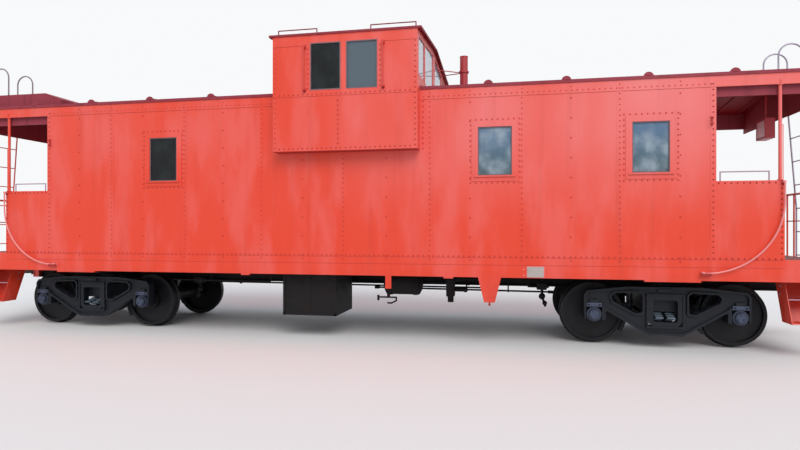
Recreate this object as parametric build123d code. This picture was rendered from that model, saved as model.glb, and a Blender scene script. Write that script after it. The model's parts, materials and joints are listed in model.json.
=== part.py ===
from build123d import *
import math
import os

# A wide-cupola railway caboose. Sizes are in millimetres.
# X runs along the car, Y across it with the near side at minus Y, Z up.
# Heights are above the floor that the wheel flanges stand on.

os.makedirs("parts", exist_ok=True)

# Wheels, axles and truck layout
flange_height = 25
flange_thickness = 32
tread_radius = 419
tread_cone = 5
rim_width = 145
rim_thickness = 52
wheel_back_gap = 1356
plate_thickness = 26
plate_dish = 16
hub_radius = 132
hub_length = 178
axle_radius = 84
bearing_radius = 98
bearing_length = 150
bearing_cap_radius = 70
bearing_cap_length = 32
journal_spacing = 2006
wheelbase = 1829
truck_spacing = 8760
axle_height = tread_radius + flange_height

# Truck side frame
side_frame_thickness = 150
side_frame_web = 74
side_frame_rim = 30
side_frame_top = 828
side_frame_bottom = 182
side_frame_end = 130.5
side_frame_toe = 67.5
side_frame_corner = 14
side_frame_window_corner = 24
pedestal_gap = 6
bearing_clearance = 0.5

# Truck bolster, springs and brakes
bolster_width = 330
bolster_depth = 245
bowl_radius = 178
bowl_rim = 22
bowl_depth = 26
centre_plate_height = 682
pivot_gap = 0.5
side_bearing_offset = 640
side_bearing_gap = 6
spring_box_width = 430
spring_box_height = 412
spring_box_depth = 124
spring_box_post = 60
spring_box_floor = 57
spring_place = 720
spring_offset = 74
spring_width = 98
spring_span = 345
spring_camber = 34
leaf_count = 3
leaf_thickness = 10
leaf_step = 70
spring_eye_radius = 11
band_width = 84
band_thickness = 8
plank_bottom = 322
plank_thickness = 18
seat_gap = 0.3
brake_gap = 12
brake_shoe_thickness = 46
brake_shoe_width = 90
brake_beam_width = 60
brake_beam_drop = 90
brake_head_seat = 15
brake_rod_radius = 12
brake_strut = 150
brake_head_shift = 14

# Body shell
body_length = 9786
body_width = 2845
wall_thickness = 60
bulwark_reach = 777
bulwark_thickness = 36
bulwark_height = 988
eave_height = 3582
roof_sheet = 42
roof_rise = 150
roof_overhang = 16
roof_inset = 50
fascia_depth = 177
fascia_thickness = 12
side_beam_place = 1355
side_beam_thickness = 30
side_beam_depth = 297
end_beam_depth = 377
rib_width = 56
rib_height = 20
rib_places = [2050, 3070, 4090, 5110]
lug_radius = 65
lug_height = 48
lug_thickness = 12

# Platform on the left end of the roof, raised above the sheets
roof_platform_height = 233
roof_platform_near = 1250
roof_platform_width = 700
roof_platform_length = 1110
roof_platform_slope = 290
roof_platform_drop = 108
roof_platform_sheet = 8

# Underframe
sill_bottom = 950
sill_top = 1118
sill_flange = 70
sill_plate = 10
sill_pad_drop = 22
sill_pad_length = 676
sill_tab_width = 130
floor_top = 1225
deck_thickness = 40
platform_reach = 1357
end_sill_thickness = 80
striker_reach = 40
striker_gap = 80
centre_sill_width = 330
centre_sill_top = 1060
centre_sill_bottom = 725
centre_sill_plate = 12
centre_sill_foot = 70
bearer_spacing = 1505
bearer_width = 74
bearer_end_depth = 145
bearer_root_depth = 250
body_bolster_width = 460

# Windows and doors
window_width = 456
window_height = 660
window_sill_height = 1110
side_window_places = [-2847, 2137, 4120]
end_window_places = [-870, 870]
glass_thickness = 6
frame_border = 80
frame_thickness = 8
ledge_depth = 26
ledge_height = 22
door_opening_width = 700
door_opening_height = 1960
door_thickness = 44
door_gap = 6
door_swing_gap = 9
door_window_width = 400
door_window_height = 620
door_window_sill_height = 1175
door_handle_height = 1015
hinge_radius = 13
hinge_pin_radius = 6
hinge_play = 0.4
hinge_height = 110
hinge_inset = 260

# Cupola
cupola_centre = 65
cupola_length = 2090
cupola_width = 3251
cupola_drop = 878
cupola_stand = 748
cupola_wall = 40
cupola_roof_edge = 30
cupola_rise = 160
cupola_roof_overhang = 15
cupola_end_overhang = 55
cupola_window_width = 444
cupola_window_height = 662
cupola_window_head = 112
cupola_window_gap = 80
cupola_end_panes = [(100, 940), (1000, 1510)]
cupola_end_sill_height = 163
cupola_end_head = 88
cupola_rail_inset = 130
cupola_rail_height = 92
cupola_rail_spans = [(40, 620), (1410, 2050)]

# Rails, ladders and steps
bar_radius = 11
thin_bar_radius = 8
loop_bar_radius = 5
top_rail_radius = 15
post_radius = 20
post_inset = 45
stand_off = 46
bracket_size = 40
sweep_inset = 15
sweep_radius = 906
sweep_bend_drop = 259
low_rail_places = [50, 608]
low_rail_height = 115
post_loop_height = 687
post_loop_reach = 33
cupola_grab_places = [-565, 570]
cupola_grab_length = 616
cupola_grab_drop = 158
railing_height = 865
railing_inset = 40
railing_places = [1330, 800, 390, 190]
ladder_rung_pitch = 330
ladder_out = 80
ladder_bend_height = 1905
hoop_width = 307
hoop_gap = 2
step_length = 488
step_bottom = 425
step_middle = 715
step_run = 270
step_set_back = 210
step_plate = 8
step_inset = 10

# Ladders by end: near and far stile, top above the eave, first rung
ladder_right_size = (-660, -180, 528, 1240)
ladder_left_size = (-1140, -650, 708, 1350)

# Hand brake on the right end railing
brake_wheel_radius = 230
brake_wheel_bar = 12
brake_wheel_height = 1830
brake_housing_width = 190
brake_housing_depth = 70
brake_housing_height = 330
brake_plate_thickness = 9

# Smoke jack
jack_place = (1562, 390)
jack_stand = 918
jack_radius = 66
jack_wall = 6
jack_bore_depth = 400
jack_clamp_drop = 265
jack_clamp_radius = 84
jack_flashing_radius = 120
brace_ends = [360, 760]
brace_rise = 55
brace_strap = 30
brace_strap_thickness = 6

# Couplers
coupler_height = 901
coupler_reach = 530
coupler_tail = 300
coupler_corner = 8
shank_width = 130
shank_height = 155
pivot_pin_radius = 28

# Boxes and tanks under the floor, each from its left end to its right end
battery_ends = (-1000, -170)
battery_sides = (-1200, -360)
battery_bottom = 325
battery_lid = 24
battery_panel_depth = 6
reservoir_ends = (450, 1050)
reservoir_middle = (-760, 790)
reservoir_radius = 170
reservoir_dome = 55
cylinder_ends = (1620, 2020)
cylinder_middle = (520, 820)
cylinder_radius = 150
push_rod_reach = 420
strap_width = 60
strap_thickness = 8
hanger_thickness = 60
vee_place = 2065
vee_bottom = 610
vee_foot = 72
vee_head = 155
drop_bracket_place = 660
drop_bracket_width = 85
drop_bracket_bottom = 770
bracket_thickness = 12

# Lamp under the roof of the right platform
lamp_ends = (5790, 5910)
lamp_sides = (-550, -250)
lamp_drop = 442
lamp_height = 280
lamp_hanger = 10

wall_top = eave_height - roof_sheet
fascia_bottom = eave_height - fascia_depth
bulwark_top = floor_top + bulwark_height
railing_top = floor_top + railing_height
window_bottom = floor_top + window_sill_height
door_window_bottom = floor_top + door_window_sill_height
deck_bottom = floor_top - deck_thickness
half_length = body_length / 2
half_width = body_width / 2
inner_width = half_width - wall_thickness
bulwark_end = half_length + bulwark_reach
post_place = bulwark_end - post_inset
end_sill_face = half_length + platform_reach
roof_reach = end_sill_face - roof_inset
step_start = end_sill_face - step_inset - step_length
truck_place = truck_spacing / 2
cupola_left = cupola_centre - cupola_length / 2
cupola_right = cupola_centre + cupola_length / 2
cupola_half = cupola_width / 2
cupola_inner = cupola_half - cupola_wall
cupola_bottom = eave_height - cupola_drop
cupola_top = eave_height + cupola_stand
cupola_window_bottom = cupola_top - cupola_window_head - cupola_window_height
coupler_face = end_sill_face + coupler_reach
coupler_pivot = end_sill_face - coupler_tail
jack_top = eave_height + jack_stand
jack_clamp_height = jack_top - jack_clamp_drop
side_bearing_top = side_frame_top + 10
side_frame_reach = wheelbase / 2 + side_frame_end
shoe_back = tread_radius + brake_gap + brake_shoe_thickness
brake_beam_place = wheelbase / 2 - shoe_back - brake_head_seat - brake_beam_width / 2
spring_box_bottom = side_frame_bottom + 118
plank_top = plank_bottom + plank_thickness
spring_half_height = spring_camber + leaf_count * leaf_thickness + band_thickness
spring_middle = plank_top + seat_gap + spring_half_height
hinge_x = half_length - wall_thickness - hinge_radius - 3
hinge_y = door_opening_width / 2
hinge_places = [floor_top + hinge_inset, floor_top + door_opening_height / 2,
                floor_top + door_opening_height - hinge_inset]

nodes = {}


def box(x0, x1, y0, y1, z0, z1):
    centre = ((x0 + x1) / 2, (y0 + y1) / 2, (z0 + z1) / 2)
    return Pos(*centre) * Box(abs(x1 - x0), abs(y1 - y0), abs(z1 - z0))


def side_plane(y):
    return Plane(origin=(0, y, 0), x_dir=(1, 0, 0), z_dir=(0, -1, 0))


def end_plane(x):
    return Plane(origin=(x, 0, 0), x_dir=(0, 1, 0), z_dir=(1, 0, 0))


def outline(points):
    return make_face(Polyline(*points, close=True))


def moved_in(points, amount):
    # the corners of an outline with every edge moved inward, or outward for a minus amount
    count = len(points)
    area = sum(points[i - 1][0] * points[i][1] - points[i][0] * points[i - 1][1] for i in range(count))
    turn = 1 if area > 0 else -1
    moved = []
    for index in range(count):
        corner = Vector(*points[index])
        before = (corner - Vector(*points[index - 1])).normalized()
        after = (Vector(*points[(index + 1) % count]) - corner).normalized()
        normals = Vector(-before.Y - after.Y, before.X + after.X) * turn
        step = amount / (1 + before.dot(after))
        moved.append((corner.X + normals.X * step, corner.Y + normals.Y * step))
    return moved


def rounded(points, radius):
    # an outline with its corners rounded, less where an edge is short
    count = len(points)
    tangents = []
    for index in range(count):
        corner = Vector(*points[index])
        back = Vector(*points[index - 1]) - corner
        onward = Vector(*points[(index + 1) % count]) - corner
        half = math.radians(back.get_angle(onward)) / 2
        reach = min(radius / math.tan(half), 0.45 * min(back.length, onward.length))
        if radius == 0 or half > math.radians(86):
            tangents.append((corner, corner, corner))
            continue
        bisector = (back.normalized() + onward.normalized()).normalized()
        depth = reach / math.cos(half) - reach * math.tan(half)
        tangents.append((corner + back.normalized() * reach, corner + bisector * depth,
                         corner + onward.normalized() * reach))
    edges = []
    for index in range(count):
        start, middle, end = tangents[index]
        edges.append(Line(tangents[index - 1][2], start))
        if start != end:
            edges.append(ThreePointArc(start, middle, end))
    return make_face(edges)


def side_plate(points, y0, y1):
    # points are X and Z pairs
    return extrude(side_plane(max(y0, y1)) * outline(points), abs(y1 - y0))


def end_plate(points, x0, x1):
    # points are Y and Z pairs
    return extrude(end_plane(min(x0, x1)) * outline(points), abs(x1 - x0))


def top_plate(points, z0, z1):
    # points are X and Y pairs
    return extrude(Plane.XY.offset(min(z0, z1)) * outline(points), abs(z1 - z0))


def rod(start, end, radius):
    # a straight round bar between two points
    path = Line(start, end)
    section = Plane(origin=path @ 0, z_dir=path % 0) * Circle(radius)
    return sweep(section, path=path)


def mitred_bar(points, radius):
    # a round bar along straight runs with mitred corners
    path = Polyline(*points)
    section = Plane(origin=path @ 0, z_dir=path % 0) * Circle(radius)
    return sweep(section, path=path, transition=Transition.RIGHT)


def ring_sector(x, z, inner, outer, first, last, y0, y1):
    # a block between two arcs about the point X, Z, from the first angle to the last
    def at(radius, angle):
        turn = math.radians(angle)
        return (x + radius * math.cos(turn), z + radius * math.sin(turn))

    middle = (first + last) / 2
    edges = [
        ThreePointArc(at(inner, first), at(inner, middle), at(inner, last)),
        Line(at(inner, last), at(outer, last)),
        ThreePointArc(at(outer, last), at(outer, middle), at(outer, first)),
        Line(at(outer, first), at(inner, first)),
    ]
    return extrude(side_plane(max(y0, y1)) * make_face(edges), abs(y1 - y0))


def post(x, y, z0, z1, radius):
    return Pos(x, y, (z0 + z1) / 2) * Cylinder(radius, z1 - z0)


def bar_across(x, y0, y1, z, radius):
    return Pos(x, (y0 + y1) / 2, z) * Rot(90, 0, 0) * Cylinder(radius, abs(y1 - y0))


def bar_along(x0, x1, y, z, radius):
    return Pos((x0 + x1) / 2, y, z) * Rot(0, 90, 0) * Cylinder(radius, abs(x1 - x0))


def far(shape):
    return mirror(shape, about=Plane.XZ)


def left(shape):
    return mirror(shape, about=Plane.YZ)


def turned(shape):
    return Rot(0, 0, 180) * shape


def both_sides(shape):
    return [shape, far(shape)]


def roof_underside(y):
    return wall_top + roof_rise * (inner_width - abs(y)) / inner_width


def roof_surface(y):
    edge = half_width + roof_overhang
    return eave_height + roof_rise * (edge - abs(y)) / edge


# Underframe

def centre_sill_section():
    web = centre_sill_width / 2
    foot = web + centre_sill_foot
    return [
        (-web, centre_sill_top),
        (web, centre_sill_top),
        (web, centre_sill_bottom + centre_sill_plate),
        (foot, centre_sill_bottom + centre_sill_plate),
        (foot, centre_sill_bottom),
        (-foot, centre_sill_bottom),
        (-foot, centre_sill_bottom + centre_sill_plate),
        (-web, centre_sill_bottom + centre_sill_plate),
    ]


def centre_sill():
    reach = end_sill_face - end_sill_thickness
    hollow = centre_sill_width / 2 - centre_sill_plate
    body = end_plate(centre_sill_section(), -reach, reach)
    return body - box(-reach - 1, reach + 1, -hollow, hollow,
                      centre_sill_bottom - 1, centre_sill_top - centre_sill_plate)


def side_sill():
    # a channel with its flanges inward, deeper pads over the trucks and small tabs between them
    outer = -half_width
    inner = outer + sill_flange
    low = sill_bottom - sill_pad_drop
    shape = box(-end_sill_face, end_sill_face, outer, outer + sill_plate, sill_bottom, sill_top)
    for z in (sill_bottom, sill_top - sill_plate):
        shape += box(-end_sill_face, end_sill_face, outer, inner, z, z + sill_plate)
    for side in (-1, 1):
        pad = side * truck_place
        tab = side * bearer_spacing
        shape += box(pad - sill_pad_length / 2, pad + sill_pad_length / 2, outer, inner, low, sill_bottom)
        shape += box(tab - sill_tab_width / 2, tab + sill_tab_width / 2, outer, inner, low, sill_bottom)
        shape += box(side * bulwark_end, side * end_sill_face, outer, outer + sill_plate,
                     sill_top, floor_top)
    return shape


def bearer(x, width, end_depth, root_depth):
    # a tapered cross member that sits over the centre sill and ends at the side sill flange
    end = half_width - sill_flange
    root = centre_sill_width / 2 + centre_sill_foot
    points = [
        (-end, deck_bottom),
        (end, deck_bottom),
        (end, deck_bottom - end_depth),
        (root, deck_bottom - root_depth),
        (-root, deck_bottom - root_depth),
        (-end, deck_bottom - end_depth),
    ]
    return end_plate(points, x - width / 2, x + width / 2)


def cross_members():
    sill = end_plate(centre_sill_section(), -end_sill_face, end_sill_face)
    places = [bearer_spacing * step for step in (-2, -1, 0, 1, 2)]
    shape = Part() + [bearer(x, bearer_width, bearer_end_depth, bearer_root_depth) for x in places]
    return shape - sill


def body_bolster(x):
    end = half_width - sill_flange
    root = centre_sill_width / 2 + centre_sill_foot
    half = body_bolster_width / 2
    points = [
        (-end, deck_bottom),
        (end, deck_bottom),
        (end, sill_bottom - sill_pad_drop),
        (side_bearing_offset + 130, side_bearing_top + side_bearing_gap + 20),
        (side_bearing_offset - 130, side_bearing_top + side_bearing_gap + 20),
        (root, centre_sill_bottom - 4),
        (-root, centre_sill_bottom - 4),
        (-side_bearing_offset + 130, side_bearing_top + side_bearing_gap + 20),
        (-side_bearing_offset - 130, side_bearing_top + side_bearing_gap + 20),
        (-end, sill_bottom - sill_pad_drop),
    ]
    shape = end_plate(points, x - half, x + half)
    for y in (-side_bearing_offset, side_bearing_offset):
        pad_top = side_bearing_top + side_bearing_gap + 20
        shape += box(x - 90, x + 90, y - 60, y + 60, side_bearing_top + side_bearing_gap, pad_top)
    shape -= end_plate(centre_sill_section(), -end_sill_face, end_sill_face)
    plate_radius = bowl_radius - bowl_rim - 4
    shape += post(x, 0, centre_plate_height, centre_sill_bottom, plate_radius)
    return shape


# Trucks, modelled at the car's centre and then moved to their places


def wheel_profile(back):
    # half section of one wheel and its hub, from the inner face outward, as radius and Y pairs
    front = back + rim_width
    crown = tread_radius + flange_height
    rim = tread_radius - rim_thickness
    plate_in = back + rim_width * 0.38
    hub_in = back + rim_width / 2 - hub_length / 2
    hub_out = hub_in + hub_length
    return [
        (axle_radius, hub_in), (hub_radius, hub_in), (hub_radius, plate_in),
        (rim, plate_in + plate_dish), (rim, back), (crown - 8, back),
        (crown, back + 9), (crown, back + 20), (tread_radius, back + flange_thickness + 4),
        (tread_radius - tread_cone, front), (rim, front), (rim, plate_in + plate_dish + plate_thickness),
        (hub_radius, plate_in + plate_thickness), (hub_radius, hub_out), (axle_radius, hub_out),
    ]


def wheelset(x):
    # axle, two wheels and the roller bearings with their end caps, turned about the axle
    back = wheel_back_gap / 2
    bearing_in = journal_spacing / 2 - bearing_length / 2
    bearing_out = bearing_in + bearing_length
    cap_out = bearing_out + bearing_cap_length
    half = [(0, 0), (axle_radius, 0)]
    half += wheel_profile(back)
    half += [
        (axle_radius, bearing_in), (bearing_radius, bearing_in), (bearing_radius, bearing_out),
        (bearing_cap_radius, bearing_out), (bearing_cap_radius, cap_out), (0, cap_out),
    ]
    distinct = [point for index, point in enumerate(half) if index == 0 or point != half[index - 1]]
    section = Plane(origin=(0, 0, 0), x_dir=(1, 0, 0), z_dir=(0, 0, -1)) * outline(
        [(r, -y) for r, y in distinct])
    turned_half = revolve(section, axis=Axis.Y)
    whole = turned_half + mirror(turned_half, about=Plane.XZ)
    return Pos(x, 0, axle_height) * whole


def side_frame_outline():
    # right half of the casting's outline from the bottom centre round to the top centre
    half_base = wheelbase / 2
    jaw = bearing_radius + pedestal_gap
    roof = axle_height + bearing_radius + bearing_clearance
    return [
        (215, side_frame_bottom), (brake_beam_place - side_frame_toe, side_frame_bottom + 55),
        (half_base - jaw - 130, axle_height + 10), (half_base - jaw - 46, axle_height + 60),
        (half_base - jaw - 46, axle_height - 70), (half_base - jaw, axle_height - 86),
        (half_base - jaw, roof), (half_base + jaw, roof),
        (half_base + jaw, axle_height - 86), (half_base + jaw + 22, axle_height - 60),
        (side_frame_reach, roof + 30), (side_frame_reach, roof + 170),
        (side_frame_reach - 40, side_frame_top - 60), (700, side_frame_top - 24), (470, side_frame_top),
    ]


def side_frame_windows():
    # the spring opening in the middle and a triangular window on each side of it
    half_spring = spring_box_width / 2 + 0.3
    spring_top = spring_box_bottom + spring_box_height
    triangle = [(290, 478), (372, 462), (672, 628), (694, 690), (650, 738), (330, 748), (290, 716)]
    mirrored = [(-x, z) for x, z in triangle]
    spring = [(-half_spring, spring_box_bottom), (half_spring, spring_box_bottom),
              (half_spring, spring_top), (-half_spring, spring_top)]
    return [spring, triangle, mirrored]


def side_frame():
    right_half = side_frame_outline()
    whole = right_half + [(-x, z) for x, z in reversed(right_half)]
    mid = -journal_spacing / 2
    face = rounded(whole, side_frame_corner)
    thin = offset(outline(whole), amount=-side_frame_rim, kind=Kind.INTERSECTION)
    for points in side_frame_windows():
        corner = side_frame_window_corner if len(points) > 4 else 0
        face -= rounded(points, corner)
        thin -= rounded(moved_in(points, -side_frame_rim * 0.8), corner + side_frame_rim * 0.3)
    body = extrude(side_plane(mid + side_frame_thickness / 2) * face, side_frame_thickness)
    pocket = (side_frame_thickness - side_frame_web) / 2
    for y in (mid + side_frame_thickness / 2, mid - side_frame_thickness / 2 + pocket):
        body -= extrude(side_plane(y) * thin, pocket)
    return body


def spring_boxes():
    # the square cast frames in the two middle openings, open through the centre, and the plank between them
    half = spring_box_width / 2
    low = spring_box_bottom
    top = low + spring_box_height
    floor = low + spring_box_floor
    corner = spring_box_post
    mid = -journal_spacing / 2
    outer = [(-half, low + corner), (-half + corner, low), (half - corner, low), (half, low + corner),
             (half, top), (-half, top)]
    hole_width = spring_box_width - 2 * corner
    hole_height = top - corner - floor
    hole = side_plane(mid + spring_box_depth) * Pos(0, floor + hole_height / 2) * RectangleRounded(
        hole_width, hole_height, corner * 0.6)
    near = side_plate(outer, mid - spring_box_depth / 2, mid + spring_box_depth / 2)
    near -= extrude(hole, 2 * spring_box_depth)
    plank = spring_offset + spring_width / 2 + 20
    reach = -mid - spring_box_depth / 4
    return near + far(near) + box(-plank, plank, -reach, reach, plank_bottom, plank_top)


def truck_bolster():
    # a box beam whose ends rest on the leaf springs, with the centre bowl and side bearings
    end = journal_spacing / 2 - spring_box_depth / 2 - seat_gap
    top = centre_plate_height - pivot_gap - 8
    low = top - bolster_depth
    end_low = spring_middle + spring_half_height + seat_gap
    half = bolster_width / 2
    inner = spring_place - spring_span
    points = [
        (-end, top - 30), (-end + 160, top), (end - 160, top), (end, top - 30),
        (end, end_low), (inner + 30, end_low), (inner - 100, low),
        (-inner + 100, low), (-inner - 30, end_low), (-end, end_low),
    ]
    shape = end_plate(points, -half, half)
    bowl_floor = centre_plate_height - pivot_gap
    bowl = post(0, 0, top - 10, bowl_floor + bowl_depth, bowl_radius)
    bowl -= post(0, 0, bowl_floor, bowl_floor + bowl_depth + 1, bowl_radius - bowl_rim)
    shape += bowl
    for y in (-side_bearing_offset, side_bearing_offset):
        shape += box(-110, 110, y - 55, y + 55, top - 10, side_bearing_top)
    return shape


def leaf_stack(middle, up):
    # one bowed half of a pack seen end on: leaves on one centre, each shorter than the one inside it
    radius = (spring_span ** 2 + spring_camber ** 2) / (2 * spring_camber)

    def at(level, reach):
        outer = radius + level * leaf_thickness
        rise = math.sqrt(outer ** 2 - reach ** 2) - radius + spring_camber
        return (middle + reach, spring_middle + up * rise)

    edges = [ThreePointArc(at(0, -spring_span), at(0, 0), at(0, spring_span))]
    for side in (1, -1):
        for level in range(leaf_count):
            reach = side * (spring_span - level * leaf_step)
            edges.append(Line(at(level, reach), at(level + 1, reach)))
            if level + 1 < leaf_count:
                next_reach = side * (spring_span - (level + 1) * leaf_step)
                edges.append(ThreePointArc(at(level + 1, reach), at(level + 1, (reach + next_reach) / 2),
                                           at(level + 1, next_reach)))
    last = spring_span - (leaf_count - 1) * leaf_step
    edges.append(ThreePointArc(at(leaf_count, last), at(leaf_count, 0), at(leaf_count, -last)))
    return make_face(edges)


def leaf_spring(side, x):
    # an elliptic pack of leaves with an eye at each tip and a band round its middle
    middle = side * spring_place
    shape = Part()
    for up in (-1, 1):
        shape += extrude(end_plane(x - spring_width / 2) * leaf_stack(middle, up), spring_width)
    for tip in (-spring_span, spring_span):
        shape += bar_along(x - spring_width / 2, x + spring_width / 2, middle + tip, spring_middle,
                           spring_eye_radius)
    shape += box(x - spring_width / 2 - band_thickness, x + spring_width / 2 + band_thickness,
                 middle - band_width / 2, middle + band_width / 2,
                 spring_middle - spring_half_height, spring_middle + spring_half_height)
    return shape


def brake_beam(side):
    # a trussed beam across the truck with a curved shoe and its head at each wheel
    reach = wheel_back_gap / 2 + rim_width / 2 + brake_head_shift
    wheel_x = side * wheelbase / 2
    face = tread_radius + brake_gap
    x = side * brake_beam_place
    z = axle_height - brake_beam_drop
    half = brake_beam_width / 2
    guide = journal_spacing / 2 - side_frame_web / 2
    beam = box(x - half, x + half, -reach, reach, z - half, z + half)
    beam += box(x - 20, x + 20, -guide, guide, z - 12, z + 12)
    first, last = (165, 215) if side > 0 else (-35, 15)
    for y in (-reach, reach):
        beam += ring_sector(wheel_x, axle_height, face, shoe_back, first, last,
                            y - brake_shoe_width / 2, y + brake_shoe_width / 2)
        beam += box(x, x + side * (half + 2 * brake_head_seat), y - 30, y + 30, z - 45, z + 45)
    strut_x = x - side * brake_strut
    beam += box(strut_x, x, -20, 20, z - 15, z + 15)
    for end in (-1, 1):
        beam += rod((x, end * (reach - 60), z), (strut_x, 0, z), brake_rod_radius)
    return beam


def place_truck(shape, side):
    return Pos(side * truck_place, 0, 0) * shape


# Body shell

def side_wall():
    points = [
        (-bulwark_end, sill_top), (bulwark_end, sill_top), (bulwark_end, bulwark_top),
        (half_length, bulwark_top), (half_length, wall_top), (cupola_right, wall_top),
        (cupola_right, cupola_bottom), (cupola_left, cupola_bottom), (cupola_left, wall_top),
        (-half_length, wall_top), (-half_length, bulwark_top), (-bulwark_end, bulwark_top),
    ]
    wall = side_plate(points, -half_width, -inner_width)
    for x in side_window_places:
        wall -= box(x - window_width / 2, x + window_width / 2, -half_width - 1, -inner_width + 1,
                    window_bottom, window_bottom + window_height)
    for side in (-1, 1):
        wall -= box(side * half_length, side * (bulwark_end + 1), -half_width + bulwark_thickness,
                    -inner_width + 1, sill_top - 1, bulwark_top + 1)
    return wall


def end_wall():
    # the right end wall with its doorway, two windows and the fixed halves of the door hinges
    x0 = half_length - wall_thickness
    y = inner_width
    points = [(-y, floor_top), (y, floor_top), (y, wall_top), (0, wall_top + roof_rise), (-y, wall_top)]
    wall = end_plate(points, x0, half_length)
    wall -= box(x0 - 1, half_length + 1, -door_opening_width / 2, door_opening_width / 2,
                floor_top - 1, floor_top + door_opening_height)
    for y in end_window_places:
        wall -= box(x0 - 1, half_length + 1, y - window_width / 2, y + window_width / 2,
                    window_bottom, window_bottom + window_height)
    for z in hinge_places:
        low = z - hinge_height / 2
        wall += post(hinge_x, hinge_y, low - 24, low - 0.5, hinge_radius - 3)
        wall += box(hinge_x - hinge_radius + 3, x0, hinge_y, hinge_y + 60, low - 24, low - 0.5)
        wall += post(hinge_x, hinge_y, low - 24, z + hinge_height / 2, hinge_pin_radius)
    return wall


def door():
    # a steel door with a window and a recessed lower panel, hung on three hinges
    x0 = half_length - wall_thickness
    x1 = x0 + door_thickness
    y0 = -door_opening_width / 2 + door_swing_gap
    y1 = door_opening_width / 2 - door_gap
    z0 = floor_top + door_gap
    z1 = floor_top + door_opening_height - door_gap
    leaf = box(x0, x1, y0, y1, z0, z1)
    leaf -= box(x0 - 1, x1 + 1, -door_window_width / 2, door_window_width / 2,
                door_window_bottom, door_window_bottom + door_window_height)
    leaf -= box(x1 - 10, x1 + 1, y0 + 110, y1 - 110, z0 + 150, door_window_bottom - 160)
    for z in hinge_places:
        low = z - hinge_height / 2
        high = z + hinge_height / 2
        leaf += box(x0 - 7, x0, y1 - 190, y1, low, high)
        leaf += box(hinge_x, x0, hinge_y - hinge_radius - 8, hinge_y - hinge_pin_radius - 1, low, high)
        leaf += post(hinge_x, hinge_y, low, high, hinge_radius)
        leaf -= post(hinge_x, hinge_y, low - 1, high + 1, hinge_pin_radius + hinge_play)
    knob_y = y0 + 70
    knob_z = floor_top + door_handle_height
    for x in (x0 - 48, x1 + 48):
        face = x0 if x < x0 else x1
        leaf += bar_along(min(x, face), max(x, face), knob_y, knob_z, 10)
        leaf += bar_across(x, knob_y - 8, knob_y + 110, knob_z, 9)
    return leaf


def below_roof(x0, x1):
    # everything under the roof's upper surface
    edge = half_width + roof_overhang
    points = [(-edge, floor_top), (edge, floor_top), (edge, eave_height),
              (0, eave_height + roof_rise), (-edge, eave_height)]
    return end_plate(points, x0, x1)


def roof(x0, x1, end):
    # a low gable with raised seam caps, and beams and a fascia round the overhang above the platform
    edge = half_width + roof_overhang
    points = [
        (-edge, wall_top), (-edge, eave_height), (0, eave_height + roof_rise), (edge, eave_height),
        (edge, wall_top), (inner_width, wall_top), (0, wall_top + roof_rise), (-inner_width, wall_top),
    ]
    shape = end_plate(points, x0, x1)
    for x in rib_places:
        shape += rib(end * x)
        for side in (-1, 1):
            shape += lug(end * x, side * (edge - lug_thickness / 2))
    start = end * half_length
    tip = end * roof_reach
    lip = end * (roof_reach - fascia_thickness)
    for y in (-half_width, half_width - fascia_thickness):
        shape += box(start, tip, y, y + fascia_thickness, fascia_bottom, wall_top)
    beam = side_beam_place + side_beam_thickness / 2
    low = eave_height - end_beam_depth
    inside = half_width - fascia_thickness
    gable = [(-beam, low), (beam, low), (beam, fascia_bottom), (inside, fascia_bottom),
             (inside, wall_top), (inner_width, wall_top), (0, wall_top + roof_rise),
             (-inner_width, wall_top), (-inside, wall_top), (-inside, fascia_bottom), (-beam, fascia_bottom)]
    shape += end_plate(gable, lip, tip)
    for side in (-1, 1):
        y = side * side_beam_place
        shape += box(start, lip, y - side_beam_thickness / 2, y + side_beam_thickness / 2,
                     eave_height - side_beam_depth, roof_underside(side_beam_place) + 2)
    return shape


def lug(x, y):
    # a half-round ear that stands on the eave at the end of a seam cap
    middle = eave_height + lug_height - lug_radius
    disc = Pos(x, y, middle) * Rot(90, 0, 0) * Cylinder(lug_radius, lug_thickness)
    return disc - box(x - lug_radius, x + lug_radius, y - lug_thickness, y + lug_thickness,
                      eave_height - 2 * lug_radius, eave_height)


def roof_platform():
    # a sheet-metal deck over the left end of the roof, with a sloping front and no bottom
    top = eave_height + roof_platform_height
    tip = -roof_reach
    edge = tip + roof_platform_length
    foot = edge + roof_platform_slope
    low = top - roof_platform_drop

    def block(inset):
        points = [(tip + inset, eave_height), (tip + inset, top - inset), (edge, top - inset),
                  (foot - inset, low - inset), (foot - inset, eave_height)]
        near = -roof_platform_near + inset
        return side_plate(points, near, near + roof_platform_width - 2 * inset)

    shape = block(0) - block(roof_platform_sheet) - below_roof(tip - 1, foot + 1)
    for x in rib_places:
        shape -= rib(-x)
    return shape


def rib(x):
    edge = half_width + roof_overhang
    low = eave_height - 4
    high = eave_height + rib_height
    points = [(-edge - 6, low), (-edge - 6, high), (0, high + roof_rise), (edge + 6, high),
              (edge + 6, low), (edge, low), (edge, eave_height), (0, eave_height + roof_rise),
              (-edge, eave_height), (-edge, low)]
    return end_plate(points, x - rib_width / 2, x + rib_width / 2)


# Cupola

def cupola_window_centres():
    step = (cupola_window_width + cupola_window_gap) / 2
    return [cupola_centre - step, cupola_centre + step]


def pane_outline(y0, y1):
    # an opening in the cupola's end whose head follows the slope of the roof
    def head(y):
        return cupola_top + cupola_rise * (cupola_inner - abs(y)) / cupola_inner - cupola_end_head

    low = eave_height + cupola_end_sill_height
    return [(y0, low), (y1, low), (y1, head(y1)), (y0, head(y0))]


def cupola_end_openings():
    spans = [(side * y0, side * y1) for side in (-1, 1) for y0, y1 in cupola_end_panes]
    return [pane_outline(min(span), max(span)) for span in spans]


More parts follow.
